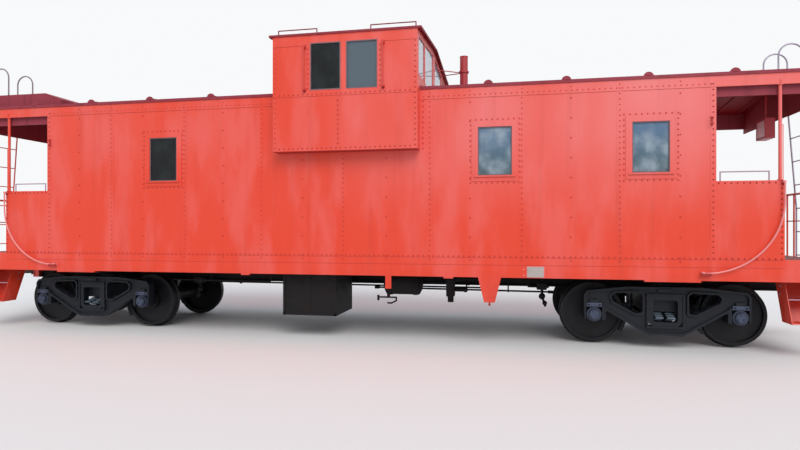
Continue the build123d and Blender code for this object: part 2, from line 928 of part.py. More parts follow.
def cupola_side():
    side = box(cupola_left, cupola_right, -cupola_half, -cupola_inner, cupola_bottom, cupola_top)
    side += box(cupola_left + cupola_wall, cupola_right - cupola_wall, -cupola_inner, -inner_width,
                cupola_bottom, cupola_bottom + cupola_wall)
    for x in cupola_window_centres():
        side -= box(x - cupola_window_width / 2, x + cupola_window_width / 2,
                    -cupola_half - 1, -cupola_inner + 1,
                    cupola_window_bottom, cupola_window_bottom + cupola_window_height)
    return side


def cupola_end(x0):
    # a bulkhead that stands on the body below it and reaches the full width of the bay
    points = [
        (-cupola_inner, cupola_bottom), (-inner_width, cupola_bottom), (-inner_width, wall_top),
        (0, wall_top + roof_rise), (inner_width, wall_top), (inner_width, cupola_bottom),
        (cupola_inner, cupola_bottom), (cupola_inner, cupola_top), (0, cupola_top + cupola_rise),
        (-cupola_inner, cupola_top),
    ]
    wall = end_plate(points, x0, x0 + cupola_wall)
    for points in cupola_end_openings():
        wall -= end_plate(points, x0 - 1, x0 + cupola_wall + 1)
    return wall


def cupola_roof():
    edge = cupola_half + cupola_roof_overhang
    top = cupola_top + cupola_roof_edge
    points = [
        (-edge, cupola_top), (-edge, top), (0, top + cupola_rise), (edge, top), (edge, cupola_top),
        (cupola_inner, cupola_top), (0, cupola_top + cupola_rise), (-cupola_inner, cupola_top),
    ]
    shape = end_plate(points, cupola_left - cupola_end_overhang, cupola_right + cupola_end_overhang)
    foot = top + cupola_rise * cupola_rail_inset / edge - 6
    high = foot + cupola_rail_height
    for y in (-edge + cupola_rail_inset, edge - cupola_rail_inset):
        for start, end in cupola_rail_spans:
            x0 = cupola_left + start
            x1 = cupola_left + end
            shape += mitred_bar([(x0, y, foot), (x0, y, high), (x1, y, high), (x1, y, foot)],
                                thin_bar_radius)
    return shape


# Windows

def window_frame(width, height, bottom, border, face):
    # a plate round the opening, standing proud of the wall, with a ledge below it
    half = width / 2
    high = bottom + height
    points = [(-half - border, bottom - border), (half + border, bottom - border),
              (half + border, high + border), (-half - border, high + border)]
    plate = side_plate(points, face - frame_thickness, face)
    plate -= box(-half, half, face - frame_thickness - 1, face + 1, bottom, high)
    reach = half + border * 0.6
    plate += box(-reach, reach, face - ledge_depth, face - frame_thickness, bottom - ledge_height, bottom)
    return plate


def pane_in_side(x, width, bottom, height, mid):
    return box(x - width / 2, x + width / 2, mid - glass_thickness / 2, mid + glass_thickness / 2,
               bottom, bottom + height)


def pane_in_end(y, width, bottom, height, mid):
    return box(mid - glass_thickness / 2, mid + glass_thickness / 2, y - width / 2, y + width / 2,
               bottom, bottom + height)


# Rails, ladders, posts and steps

def corner_post():
    # a pipe post from the low wall to the fascia, with a thin hand loop on its outer side
    y = -half_width + bulwark_thickness / 2
    shape = post(post_place, y, bulwark_top, fascia_bottom, post_radius)
    high = bulwark_top + post_loop_height
    side = post_place + post_loop_reach
    start = post_place + post_radius / 2
    return shape + mitred_bar([(start, y, high), (side, y, high), (side, y, bulwark_top)], loop_bar_radius)


def sweeping_iron():
    # a hand iron that drops beside the steps and sweeps back along the side sill
    y = -half_width - stand_off
    x = bulwark_end - sweep_inset
    bend = bulwark_top - sweep_bend_drop
    low = bend - sweep_radius
    arc = CenterArc((x - sweep_radius, bend), sweep_radius, 0, -90)
    side = side_plane(y) * (Line((x, bulwark_top - 10), (x, bend)) + arc)
    start = side @ 0
    section = Plane(origin=start, z_dir=side % 0) * Circle(bar_radius)
    shape = sweep(section, path=side)
    inner = -half_width
    half = bracket_size / 2
    shape += box(x - half, x + bar_radius, y - bar_radius, inner, bulwark_top - 32, bulwark_top - 8)
    end = x - sweep_radius
    shape += box(end - bracket_size, end + 6, y - bar_radius, inner, low - half, low + half)
    return shape


def low_rail():
    # a thin rail over the low platform wall
    y = -half_width + bulwark_thickness / 2
    x0, x1 = [half_length + place for place in low_rail_places]
    high = bulwark_top + low_rail_height
    return mitred_bar([(x0, y, bulwark_top), (x0, y, high), (x1, y, high), (x1, y, bulwark_top)],
                      thin_bar_radius)


def side_grab_irons():
    return [sweeping_iron(), low_rail()]


def cupola_grab_irons():
    # two upright bars on bolted feet beside the cupola's side windows
    y = -cupola_half - stand_off
    high = cupola_top - cupola_grab_drop
    low = high - cupola_grab_length
    half = bracket_size / 2
    irons = []
    for place in cupola_grab_places:
        x = cupola_centre + place
        iron = post(x, y, low, high, bar_radius)
        for z in (low + half / 2, high - half / 2):
            iron += box(x - half, x + half, y - bar_radius, -cupola_half, z - half / 2, z + half / 2)
        irons.append(iron)
    return irons


def ladder(size, back_foot):
    # two stiles that stand on the roof and the end sill, with rungs between them
    y0, y1, rise, first_rung = size
    front = roof_reach + bar_radius + hoop_gap
    back = front - hoop_width
    outer = end_sill_face + ladder_out
    top = eave_height + rise
    arc_start = top - hoop_width / 2
    foot = sill_top
    shape = Part()
    for y in (y0, y1):
        seat = back_foot if back_foot else roof_surface(abs(y) - bar_radius)
        plane = side_plane(y)
        path = plane * (Line((back, seat), (back, arc_start))
                        + CenterArc(((back + front) / 2, arc_start), hoop_width / 2, 180, -180)
                        + Line((front, arc_start), (front, fascia_bottom)))
        section = Plane(origin=path @ 0, z_dir=path % 0) * Circle(bar_radius)
        shape += sweep(section, path=path)
        shape += mitred_bar([(front, y, fascia_bottom), (outer, y, ladder_bend_height), (outer, y, foot)],
                            bar_radius)
        shape += box(end_sill_face, outer + bar_radius, y - 14, y + 14, foot - 30, foot)
    z = first_rung
    while z < fascia_bottom:
        slope = (z - ladder_bend_height) / (fascia_bottom - ladder_bend_height)
        x = outer + (front - outer) * min(1, max(0, slope))
        shape += bar_across(x, y0, y1, z, thin_bar_radius)
        z += ladder_rung_pitch
    return shape


def end_railing():
    x = end_sill_face - railing_inset
    shape = Part()
    for y in railing_places:
        for side in (-1, 1):
            shape += post(x, side * y, floor_top, railing_top, bar_radius)
    middle = (railing_top + floor_top) / 2 + 60
    first = railing_places[0] + 20
    last = railing_places[-1] - 20
    for side in (-1, 1):
        for z, radius in ((railing_top, top_rail_radius), (middle, thin_bar_radius)):
            shape += bar_across(x, side * first, side * last, z, radius)
    return shape


def hand_brake():
    # a spoked hand wheel on a flat gear housing, on a plate across two posts of the right railing
    x = end_sill_face - railing_inset - bar_radius - seat_gap
    y0, y1 = railing_places[2], railing_places[1]
    y = (y0 + y1) / 2
    z = brake_wheel_height
    plate = box(x - brake_plate_thickness, x, y0 - 20, y1 + 20, z - 60, z + 60)
    face = x - brake_plate_thickness - brake_housing_depth
    half = brake_housing_width / 2
    housing = end_plate([(y - half, z - brake_housing_height / 2), (y + half, z - brake_housing_height / 2),
                         (y + half, z + 60), (y + half * 0.6, z + brake_housing_height / 2),
                         (y - half * 0.6, z + brake_housing_height / 2), (y - half, z + 60)],
                        face, x - brake_plate_thickness)
    wheel_x = face - 28
    shape = plate + housing + bar_along(wheel_x - 16, face, y, z, 34)
    shape += Pos(wheel_x, y, z) * Rot(0, 90, 0) * Torus(brake_wheel_radius, brake_wheel_bar)
    shape += bar_across(wheel_x, y - brake_wheel_radius, y + brake_wheel_radius, z, brake_wheel_bar - 3)
    return shape + post(wheel_x, y, z - brake_wheel_radius, z + brake_wheel_radius, brake_wheel_bar - 3)


def platform():
    # deck, end sill and the striker casting round the coupler's shank
    bulwark_inner = half_width - bulwark_thickness
    outer = half_width - sill_plate
    points = [(half_length, -bulwark_inner), (bulwark_end, -bulwark_inner), (bulwark_end, -outer),
              (end_sill_face, -outer), (end_sill_face, outer), (bulwark_end, outer),
              (bulwark_end, bulwark_inner), (half_length, bulwark_inner)]
    shape = top_plate(points, deck_bottom, floor_top)
    x0 = end_sill_face - end_sill_thickness
    striker = end_sill_face + striker_reach
    sill_inner = half_width - sill_flange
    shape += box(x0, end_sill_face, -sill_inner, sill_inner, sill_bottom, deck_bottom)
    foot = centre_sill_width / 2 + centre_sill_foot
    shape += box(x0, striker, -foot, foot, centre_sill_bottom, centre_sill_top)
    shape -= box(x0 - 1, striker + 1, -shank_width / 2 - striker_gap, shank_width / 2 + striker_gap,
                 coupler_height - shank_height / 2 - 0.5, coupler_height + shank_height / 2 + 20)
    return shape


def rounded_plate(points, radius, z0, z1):
    # a flat piece with rounded corners, from X and Y pairs
    return extrude(Plane.XY.offset(min(z0, z1)) * rounded(points, radius), abs(z1 - z0))


def step_set():
    # two treads between slanting side plates, with a closed back
    top = sill_bottom
    y_top = -half_width + step_set_back + 2
    y_low = -half_width + 2
    x0 = step_start
    x1 = step_start + step_length
    cheek = [(y_low, step_bottom), (y_low + step_run, step_bottom), (y_top + step_run, top), (y_top, top)]
    shape = end_plate(cheek, x0, x0 + step_plate) + end_plate(cheek, x1 - step_plate, x1)
    back = [(y_low + step_run - step_plate, step_bottom), (y_low + step_run, step_bottom),
            (y_top + step_run, top), (y_top + step_run - step_plate, top)]
    shape += end_plate(back, x0, x1)
    for z in (step_bottom, step_middle):
        share = (z - step_bottom) / (top - step_bottom)
        edge = y_low + step_set_back * share
        shape += box(x0, x1, edge, edge + step_run - step_plate / 4, z, z + step_plate)
    return shape


# Couplers

def coupler():
    # shank with its pivot pin, head with its guard arm, and the closed knuckle
    low = coupler_height - shank_height / 2
    shape = box(coupler_pivot - 60, coupler_face - 300, -shank_width / 2, shank_width / 2,
                low, low + shank_height)
    shape += post(coupler_pivot, 0, low, centre_sill_top - centre_sill_plate - seat_gap, pivot_pin_radius)
    face = coupler_face
    head = [(face - 330, -75), (face - 330, 75), (face - 250, 125), (face - 120, 150), (face - 14, 205),
            (face - 2, 178), (face - 90, 85), (face - 118, 20), (face - 112, -60), (face - 150, -150),
            (face - 240, -150)]
    shape += rounded_plate(head, coupler_corner, coupler_height - 115, coupler_height + 115)
    knuckle = [(face - 150, -150), (face - 112, -60), (face - 60, -18), (face - 6, -22), (face, -60),
               (face - 8, -140), (face - 60, -172), (face - 120, -170)]
    shape += rounded_plate(knuckle, coupler_corner, coupler_height - 140, coupler_height + 140)
    shape += post(face - 135, -118, coupler_height - 165, coupler_height + 170, 22)
    return shape


# Equipment under the floor and on the roof

def battery_box():
    # a hung steel box with a proud lid and two pressed panels on its near face
    x0, x1 = battery_ends
    y0, y1 = battery_sides
    lid = battery_lid
    top = deck_bottom - bearer_end_depth
    shape = box(x0, x1, y0, y1, battery_bottom, top)
    shape += box(x0 - 12, x1 + 12, y0 - 12, y1 + 12, top - 2 * lid, top - lid)
    middle = (x0 + x1) / 2
    for start, end in ((x0 + 40, middle - 20), (middle + 20, x1 - 40)):
        shape -= box(start, end, y0 - 1, y0 + battery_panel_depth, battery_bottom + 60, top - 4 * lid)
    for x in (x0 + hanger_thickness, x1 - hanger_thickness):
        shape += box(x - strap_thickness, x + strap_thickness, y0 + 40, y1 - 40, top, deck_bottom)
    return shape


def air_reservoir():
    # a tank with domed heads, two straps and their hangers
    x0, x1 = reservoir_ends
    y, z = reservoir_middle
    radius = reservoir_radius
    dome = reservoir_dome
    ball = (radius ** 2 + dome ** 2) / (2 * dome)
    waist = 0.7 * radius
    drop = ball - math.sqrt(ball ** 2 - waist ** 2)
    profile = [
        Line((x0, 0), (x1, 0)),
        ThreePointArc((x1, 0), (x1 - drop, waist), (x1 - dome, radius)),
        Line((x1 - dome, radius), (x0 + dome, radius)),
        ThreePointArc((x0 + dome, radius), (x0 + drop, waist), (x0, 0)),
    ]
    tank = revolve(make_face(profile), axis=Axis.X)
    shape = Pos(0, y, z) * tank
    for x in (x0 + 2 * dome, x1 - 2 * dome):
        shape += bar_along(x - strap_width / 2, x + strap_width / 2, y, z, radius + strap_thickness)
        shape += box(x - strap_width / 2, x + strap_width / 2, y - hanger_thickness / 2,
                     y + hanger_thickness / 2, z + radius / 2, deck_bottom)
    return shape


def brake_cylinder():
    # a cylinder with a bolted head, its push rod and the block that hangs it
    x0, x1 = cylinder_ends
    y, z = cylinder_middle
    radius = cylinder_radius
    shape = bar_along(x0, x1, y, z, radius) + bar_along(x0, x0 + 30, y, z, radius + 26)
    shape += bar_along(x1, x1 + 60, y, z, radius * 0.5)
    shape += bar_along(x1, x1 + push_rod_reach, y, z, 18)
    block = radius * 0.8
    middle = (x0 + x1) / 2
    return shape + box(middle - block, middle + block, y - 40, y + 40, z + radius / 2, deck_bottom)


def sill_brackets():
    y0 = -half_width
    y1 = y0 + bracket_thickness
    vee = [(vee_place - vee_head, sill_bottom), (vee_place - vee_foot, vee_bottom),
           (vee_place + vee_foot, vee_bottom), (vee_place + vee_head, sill_bottom)]
    half = drop_bracket_width / 2
    drop = box(drop_bracket_place - half, drop_bracket_place + half, y0, y1,
               drop_bracket_bottom, sill_bottom)
    return [side_plate(vee, y0, y1), drop]


def smoke_jack():
    # a stove pipe through the roof with a flashing collar at its foot and a clamp for its two braces
    x, y = jack_place
    high = roof_surface(y - jack_flashing_radius) + 30
    shape = post(x, y, wall_top, jack_top, jack_radius)
    shape += post(x, y, jack_clamp_height - 15, jack_clamp_height + 15, jack_clamp_radius)
    shape += post(x, y, wall_top, high, jack_flashing_radius)
    shape -= post(x, y, jack_top - jack_bore_depth, jack_top + 1, jack_radius - jack_wall)
    return shape - below_roof(x - 200, x + 200)


def smoke_jack_braces():
    # two rods from the clamp up to straps on the cupola's end wall
    x, y = jack_place
    wall = cupola_right + brace_strap_thickness
    braces = []
    for end_y in brace_ends:
        run = math.hypot(x - wall, end_y - y)
        across = (wall - x) / run
        aside = (end_y - y) / run
        near = jack_clamp_radius + 1
        start = (x + across * near, y + aside * near, jack_clamp_height)
        high = jack_clamp_height + brace_rise
        end = (wall - 2, end_y, high)
        outer = end_y + brace_strap / 2
        head = cupola_top + cupola_rise * (cupola_inner - outer) / cupola_inner
        strap = box(cupola_right, wall, end_y - brace_strap / 2, end_y + brace_strap / 2, high - 25, head)
        braces.append(rod(start, end, thin_bar_radius) + strap)
    return braces


def platform_lamp():
    # a box lamp on a flat hanger under the platform roof
    x0, x1 = lamp_ends
    y0, y1 = lamp_sides
    high = eave_height - lamp_drop
    y = (y0 + y1) / 2
    x = (x0 + x1) / 2
    lamp = box(x0, x1, y0, y1, high - lamp_height, high)
    return lamp + box(x - lamp_hanger, x + lamp_hanger, y - lamp_hanger / 2, y + lamp_hanger / 2,
                      high, roof_underside(y - lamp_hanger / 2) - seat_gap)


nodes["centre_sill"] = centre_sill()
nodes["body_bolsters"] = [body_bolster(truck_place), body_bolster(-truck_place)]
nodes["cross_members"] = cross_members()
nodes["side_sills"] = both_sides(side_sill())
nodes["floor_deck"] = box(-half_length, half_length, -inner_width, inner_width, deck_bottom, floor_top)
nodes["platform_right"] = platform()
nodes["platform_left"] = left(platform())
nodes["side_wall_near"] = side_wall()
nodes["side_wall_far"] = far(side_wall())
nodes["end_wall_right"] = end_wall()
nodes["end_wall_left"] = turned(end_wall())
nodes["door_right"] = door()
nodes["door_left"] = turned(door())
nodes["roof_left"] = roof(-roof_reach, cupola_left, -1)
nodes["roof_right"] = roof(cupola_right, roof_reach, 1)
nodes["roof_platform"] = roof_platform()
nodes["cupola_side_near"] = cupola_side()
nodes["cupola_side_far"] = far(cupola_side())
nodes["cupola_ends"] = [cupola_end(cupola_left), cupola_end(cupola_right - cupola_wall)]
nodes["cupola_roof"] = cupola_roof()

one_frame = window_frame(window_width, window_height, window_bottom, frame_border, -half_width)
near_frames = [Pos(x, 0, 0) * one_frame for x in side_window_places]
nodes["window_frames_near"] = near_frames
nodes["window_frames_far"] = [far(shape) for shape in near_frames]

side_panes = [pane_in_side(x, window_width, window_bottom, window_height, -half_width + 20)
              for x in side_window_places]
end_panes = [pane_in_end(y, window_width, window_bottom, window_height, half_length - 20)
             for y in end_window_places]
nodes["window_glass"] = (side_panes + [far(pane) for pane in side_panes]
                         + end_panes + [left(pane) for pane in end_panes])
door_pane_place = half_length - wall_thickness + door_thickness / 2
door_pane = pane_in_end(0, door_window_width, door_window_bottom, door_window_height, door_pane_place)
nodes["door_glass_right"] = door_pane
nodes["door_glass_left"] = turned(door_pane)
cupola_panes = [pane_in_side(x, cupola_window_width, cupola_window_bottom, cupola_window_height,
                             -cupola_half + 16) for x in cupola_window_centres()]
cupola_end_glass = [end_plate(points, x - glass_thickness / 2, x + glass_thickness / 2)
                    for points in cupola_end_openings() for x in (cupola_left + 16, cupola_right - 16)]
nodes["cupola_glass"] = cupola_panes + [far(pane) for pane in cupola_panes] + cupola_end_glass

posts = [corner_post(), far(corner_post())]
nodes["corner_posts"] = posts + [left(shape) for shape in posts]
right_irons = side_grab_irons()
near_irons = right_irons + [left(shape) for shape in right_irons] + cupola_grab_irons()
nodes["grab_irons_near"] = near_irons
nodes["grab_irons_far"] = [far(shape) for shape in near_irons]
nodes["ladder_right"] = ladder(ladder_right_size, None)
nodes["ladder_left"] = left(ladder(ladder_left_size, eave_height + roof_platform_height))
nodes["end_railing_right"] = end_railing()
nodes["end_railing_left"] = left(end_railing())
nodes["hand_brake"] = hand_brake()
steps = [step_set(), far(step_set())]
nodes["steps_right"] = steps
nodes["steps_left"] = [left(shape) for shape in steps]
nodes["coupler_right"] = coupler()
nodes["coupler_left"] = turned(coupler())
nodes["battery_box"] = battery_box()
nodes["air_reservoir"] = air_reservoir()
nodes["brake_cylinder"] = brake_cylinder()
nodes["sill_brackets"] = [shape for one in sill_brackets() for shape in (one, far(one))]
nodes["smoke_jack"] = smoke_jack()
nodes["smoke_jack_braces"] = smoke_jack_braces()
nodes["platform_lamp"] = platform_lamp()

frame_pair = both_sides(side_frame())
beam_pair = [brake_beam(-1), brake_beam(1)]
spring_pair = [leaf_spring(side, x) for side in (-1, 1) for x in (-spring_offset, spring_offset)]
for name, side in (("left", -1), ("right", 1)):
    nodes[name + "_truck_side_frames"] = [place_truck(shape, side) for shape in frame_pair]
    nodes[name + "_truck_spring_boxes"] = place_truck(spring_boxes(), side)
    nodes[name + "_truck_leaf_springs"] = [place_truck(shape, side) for shape in spring_pair]
    nodes[name + "_truck_bolster"] = place_truck(truck_bolster(), side)
    nodes[name + "_truck_brake_beams"] = [place_truck(shape, side) for shape in beam_pair]
    nodes[name + "_outer_wheelset"] = place_truck(wheelset(side * wheelbase / 2), side)
    nodes[name + "_inner_wheelset"] = place_truck(wheelset(-side * wheelbase / 2), side)

for name, shape in nodes.items():
    solids = list(shape) if isinstance(shape, list) else [shape]
    whole = Compound(children=[Part(solid.wrapped) for solid in solids]) if len(solids) > 1 else solids[0]
    export_step(whole, "parts/" + name + ".step")
    print(name, len(solids))
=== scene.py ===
import json
import math
import bmesh
import bpy
from mathutils import Matrix, Vector


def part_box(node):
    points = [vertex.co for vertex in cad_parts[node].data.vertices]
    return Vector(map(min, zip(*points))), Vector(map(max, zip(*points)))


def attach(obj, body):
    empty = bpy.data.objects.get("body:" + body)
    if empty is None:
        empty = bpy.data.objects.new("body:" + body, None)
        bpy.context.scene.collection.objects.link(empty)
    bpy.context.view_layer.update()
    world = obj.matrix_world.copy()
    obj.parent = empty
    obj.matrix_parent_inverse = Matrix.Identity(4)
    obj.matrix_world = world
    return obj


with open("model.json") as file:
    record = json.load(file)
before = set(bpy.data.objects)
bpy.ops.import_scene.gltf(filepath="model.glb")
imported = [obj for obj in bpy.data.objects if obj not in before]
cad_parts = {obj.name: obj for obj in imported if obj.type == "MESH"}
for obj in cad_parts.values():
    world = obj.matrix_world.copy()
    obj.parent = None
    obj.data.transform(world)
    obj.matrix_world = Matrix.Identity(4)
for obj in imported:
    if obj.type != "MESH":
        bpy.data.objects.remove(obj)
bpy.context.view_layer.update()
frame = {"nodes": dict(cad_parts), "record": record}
print("frame loaded")

# metres, +X along the car to the right, near side at minus Y, +Z up
car = {
    "halfWidth": -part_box("side_wall_near")[0].y,
    "halfLength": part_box("floor_deck")[1].x,
    "bulwarkEnd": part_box("side_wall_near")[1].x,
    "wallTop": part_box("side_wall_near")[1].z,
    "roofReach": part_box("roof_right")[1].x,
    "bulwarkTop": 2.213,
    "letterboard": 3.402,  # lower edge of the band under the eave
    "floorTop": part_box("floor_deck")[1].z,
    "endSill": 6.25,
    "truckPlace": 4.38,
    "axleOffset": 0.9145,
    "axleHeight": 0.444,
}
ends = (("left", -1), ("right", 1))
both = (-1, 1)
# ways to turn a place over across the car's middle planes
once, bothEnds, bothSides = [(1, 1, 1)], [(end, 1, 1) for end in both], [(1, side, 1) for side in both]
corners = [(end, side, 1) for side in both for end in both]
outX, outY = Vector((1, 0, 0)), Vector((0, 1, 0))
lateral = (("Near", -1), ("Far", 1))


# Meshes

thinPane = 0.02  # a pane is thinner than this through its glass


def addObject(name, data):
    made = bpy.data.objects.new(name, data)
    bpy.context.scene.collection.objects.link(made)
    return made


def makeMesh(bm, name):
    mesh = bpy.data.meshes.new(name)
    bm.to_mesh(mesh)
    bm.free()
    return mesh


def finishPiece(bm, name, material, body="carbody", slot="body_red", smooth=False):
    mesh = makeMesh(bm, name)
    piece = addObject(name, mesh)
    mesh.materials.append(finishes[material])
    for polygon in mesh.polygons:
        polygon.use_smooth = smooth
    if smooth:
        mesh.set_sharp_from_angle(angle=math.radians(38))
    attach(piece, body)


def addBox(bm, low, high, rounding=0.0):
    low, high = Vector(low), Vector(high)
    low, high = Vector(map(min, low, high)), Vector(map(max, low, high))
    place = Matrix.Translation((low + high) / 2) @ Matrix.Diagonal((*(high - low), 1))
    made = bmesh.ops.create_cube(bm, size=1, matrix=place)
    if rounding > 0:
        edges = {edge for vert in made["verts"] for edge in vert.link_edges}
        bmesh.ops.bevel(bm, geom=list(edges), offset=rounding, affect="EDGES", segments=2,
                        profile=0.5, material=-1)


def addSlope(bm, start, end, width, depth):
    # a flat bar across the car, along a sloping middle line
    start, end = Vector(start), Vector(end)
    run = end - start
    place = Matrix.Translation((start + end) / 2) @ Matrix.Rotation(math.atan2(run.z, run.y), 4, "X")
    bmesh.ops.create_cube(bm, size=1, matrix=place @ Matrix.Diagonal((width, run.length, depth, 1)))


def addRod(bm, start, end, radius, sides=12):
    start, end = Vector(start), Vector(end)
    turn = Vector((0, 0, 1)).rotation_difference(end - start).to_matrix().to_4x4()
    place = Matrix.Translation((start + end) / 2) @ turn
    bmesh.ops.create_cone(bm, cap_ends=True, segments=sides, radius1=radius, radius2=radius,
                          depth=(end - start).length, matrix=place)


def addBall(bm, centre, radius):
    bmesh.ops.create_icosphere(bm, subdivisions=2, radius=radius, matrix=Matrix.Translation(centre))


def addPipe(bm, points, radius):
    # straight lengths with a ball at each bend
    for start, end in zip(points, points[1:]):
        addRod(bm, start, end, radius)
    for point in points[1:-1]:
        addBall(bm, point, radius * 1.02)


def addBolt(bm, place, outward, across=0.020, height=0.012):
    # a six-sided head on a washer
    place, outward = Vector(place), Vector(outward)
    addRod(bm, place - outward * 0.002, place + outward * 0.002, across * 0.78, 12)
    addRod(bm, place, place + outward * height, across * 0.56, 6)


def addFrame(bm, low, high, face, depth, inner, outer):
    # four flat bars round a pane of a side or an end wall, reaching in and out from its edge
    acrossX = high.x - low.x < thinPane
    start, stop = (low.y, high.y) if acrossX else (low.x, high.x)
    for s0, s1, z0, z1 in ((start - outer, stop + outer, low.z - outer, low.z + inner),
                           (start - outer, stop + outer, high.z - inner, high.z + outer),
                           (start - outer, start + inner, low.z + inner, high.z - inner),
                           (stop - inner, stop + outer, low.z + inner, high.z - inner)):
        if acrossX:
            addBox(bm, (face, s0, z0), (face + depth, s1, z1))
        else:
            addBox(bm, (s0, face, z0), (s1, face + depth, z1))


def circle(count, radius, start=0):
    # evenly spaced places round a circle
    angles = [math.radians(start + 360 * index / count) for index in range(count)]
    return [(radius * math.cos(angle), radius * math.sin(angle)) for angle in angles]


def sign(value):
    return 1 if value > 0 else -1


def moved(item, flip, shift):
    # places are tuples, runs of places are lists, and directions are vectors
    if isinstance(item, list):
        return [moved(place, flip, shift) for place in item]
    if isinstance(item, Vector):
        return Vector([a * b for a, b in zip(item, flip)])
    return tuple(a * b + c for a, b, c in zip(item, flip, shift)) if isinstance(item, tuple) else item


def addRows(bm, rows, flips=once, shift=(0, 0, 0)):
    # each row is a maker and what it takes, built once for each way of turning it over
    for flip in flips:
        for make, *given in rows:
            make(bm, *[moved(item, flip, shift) for item in given])


def dress(name, material, rows, flips=once, shift=(0, 0, 0), **how):
    bm = bmesh.new()
    addRows(bm, rows, flips, shift)
    finishPiece(bm, name, material, **how)


# Materials

def colour(red, green, skyReflection):
    # sRGB, 0 to 255, to linear
    def linear(value):
        value /= 255
        return value / 12.92 if value <= 0.04045 else ((value + 0.055) / 1.055) ** 2.4
    return (linear(red), linear(green), linear(skyReflection), 1)


def newGroup(name, colours, amounts):
    # gives the group, what its inputs give inside it, and its result sockets
    group = bpy.data.node_groups.new(name, "ShaderNodeTree")
    for kind, labels in (("Color", colours), ("Float", amounts)):
        for label in labels:
            group.interface.new_socket(label, in_out="INPUT", socket_type="NodeSocket" + kind)
    for label, kind in (("Color", "Color"), ("Roughness", "Float"), ("Normal", "Vector")):
        group.interface.new_socket(label, in_out="OUTPUT", socket_type="NodeSocket" + kind)
    return group, group.nodes.new("NodeGroupInput").outputs, group.nodes.new("NodeGroupOutput").inputs


def join(tree, source, target):
    # links an output to a socket, or sets the socket to a plain value
    if isinstance(source, bpy.types.NodeSocket):
        tree.links.new(source, target)
    else:
        target.default_value = source


def addNode(tree, kind, inputs=None, **settings):
    # a shader node with its settings, each input a plain value or another node's output
    node = tree.nodes.new("ShaderNode" + kind)
    for label, value in settings.items():
        setattr(node, label, value)
    for label, value in (inputs or {}).items():
        join(tree, value, node.inputs[label])
    return node


def noiseMask(tree, vector, scale, detail, low, high):
    # noise pushed to a mask between its two limits, at one scale or stretched along the axes
    if isinstance(scale, tuple):
        vector, scale = stretched(tree, vector, scale), 1.0
    noise = addNode(tree, "TexNoise", {"Vector": vector, "Scale": scale, "Detail": detail})
    return ramp(tree, noise.outputs["Fac"], low, high)


def ramp(tree, value, low, high, start=0.0):
    # its start below the low value, 1 above the high one, smooth between them
    inputs = {"Value": value, "From Min": low, "From Max": high, "To Min": start}
    return addNode(tree, "MapRange", inputs, interpolation_type="SMOOTHSTEP").outputs["Result"]


def calculate(tree, operation, first, second):
    return addNode(tree, "Math", {0: first, 1: second}, operation=operation).outputs[0]


def times(tree, first, second):
    return calculate(tree, "MULTIPLY", first, second)


def mixColour(tree, mask, first, second):
    return addNode(tree, "Mix", {"Factor": mask, 6: first, 7: second}, data_type="RGBA").outputs[2]


def stretched(tree, vector, scale):
    return addNode(tree, "Mapping", {"Vector": vector, "Scale": scale}).outputs["Vector"]


def split(tree, vector):
    return addNode(tree, "SeparateXYZ", {0: vector}).outputs


def placeIn(tree):
    return addNode(tree, "TexCoord").outputs["Object"]


def facingUp(tree):
    return split(tree, addNode(tree, "NewGeometry").outputs["Normal"])["Z"]


def giveResult(group, result, tone, rough, normal):
    for label, value in (("Color", tone), ("Roughness", rough), ("Normal", normal)):
        join(group, value, result[label])


paintColours = ("Paint", "Faded And Sheen", "Grime")
paintAmounts = ("Fading And Sheen", "Sheen Left", "Streaks", "Grime Top", "Gloss", "Waves")
castColours = ("Metal", "Rust", "Dust And Sheen")
castAmounts = ("Rusting", "Dusting And Sheen", "Gloss", "Pores")
fade = {"low": 1.5, "high": 3.3, "reach": 4.5}  # heights and length between which the painted sheen grows


def makePaintGroup():
    # old enamel: a paler painted sheen that grows upwards and to the right, random faded patches, upright
    # streaks, dust from below, waves
    group, given, result = newGroup("weatheredPaint", paintColours, paintAmounts)
    place = placeIn(group)
    axes = split(group, place)
    # painted sheen: the paler colour grows with height and towards the right end of the car
    sheenClouds = noiseMask(group, place, (0.42, 0.42, 0.25), 2, 0.32, 0.68)
    sheenClouds = times(group, sheenClouds, ramp(group, axes["Z"], fade["low"], fade["high"]))
    aside = ramp(group, axes["X"], -fade["reach"], fade["reach"], given["Sheen Left"])
    sheenClouds = times(group, times(group, sheenClouds, given["Fading And Sheen"]), aside)
    paint = mixColour(group, sheenClouds, given["Paint"], given["Faded And Sheen"])
    patches = noiseMask(group, place, (3.0, 3.0, 0.9), 5, 0.42, 0.70)
    patches = times(group, patches, times(group, given["Fading And Sheen"], 0.32))
    paint = mixColour(group, patches, paint, given["Faded And Sheen"])
    rain = noiseMask(group, place, (9, 9, 0.45), 4, 0.50, 0.76)
    paint = mixColour(group, times(group, rain, given["Streaks"]), paint, given["Grime"])
    below = calculate(group, "SUBTRACT", given["Grime Top"], axes["Z"])
    dust = times(group, noiseMask(group, place, 3.5, 6, 0.3, 0.75), below)
    paint = mixColour(group, dust, paint, given["Grime"])
    fine = noiseMask(group, place, 45, 3, 0.2, 0.8)
    rough = calculate(group, "ADD", times(group, fine, 0.10), given["Gloss"])
    rough = calculate(group, "ADD", rough, times(group, patches, 0.4))
    waves = addNode(group, "TexNoise", {
        "Vector": stretched(group, place, (2.3, 2.3, 1.2)), "Scale": 1.0, "Detail": 2})
    swell = addNode(group, "Bump", {
        "Height": waves.outputs["Fac"], "Strength": given["Waves"], "Distance": 0.05})
    peel = addNode(group, "Bump", {
        "Height": fine, "Strength": 0.10, "Distance": 0.002, "Normal": swell.outputs["Normal"]})
    giveResult(group, result, paint, rough, peel.outputs["Normal"])
    return group


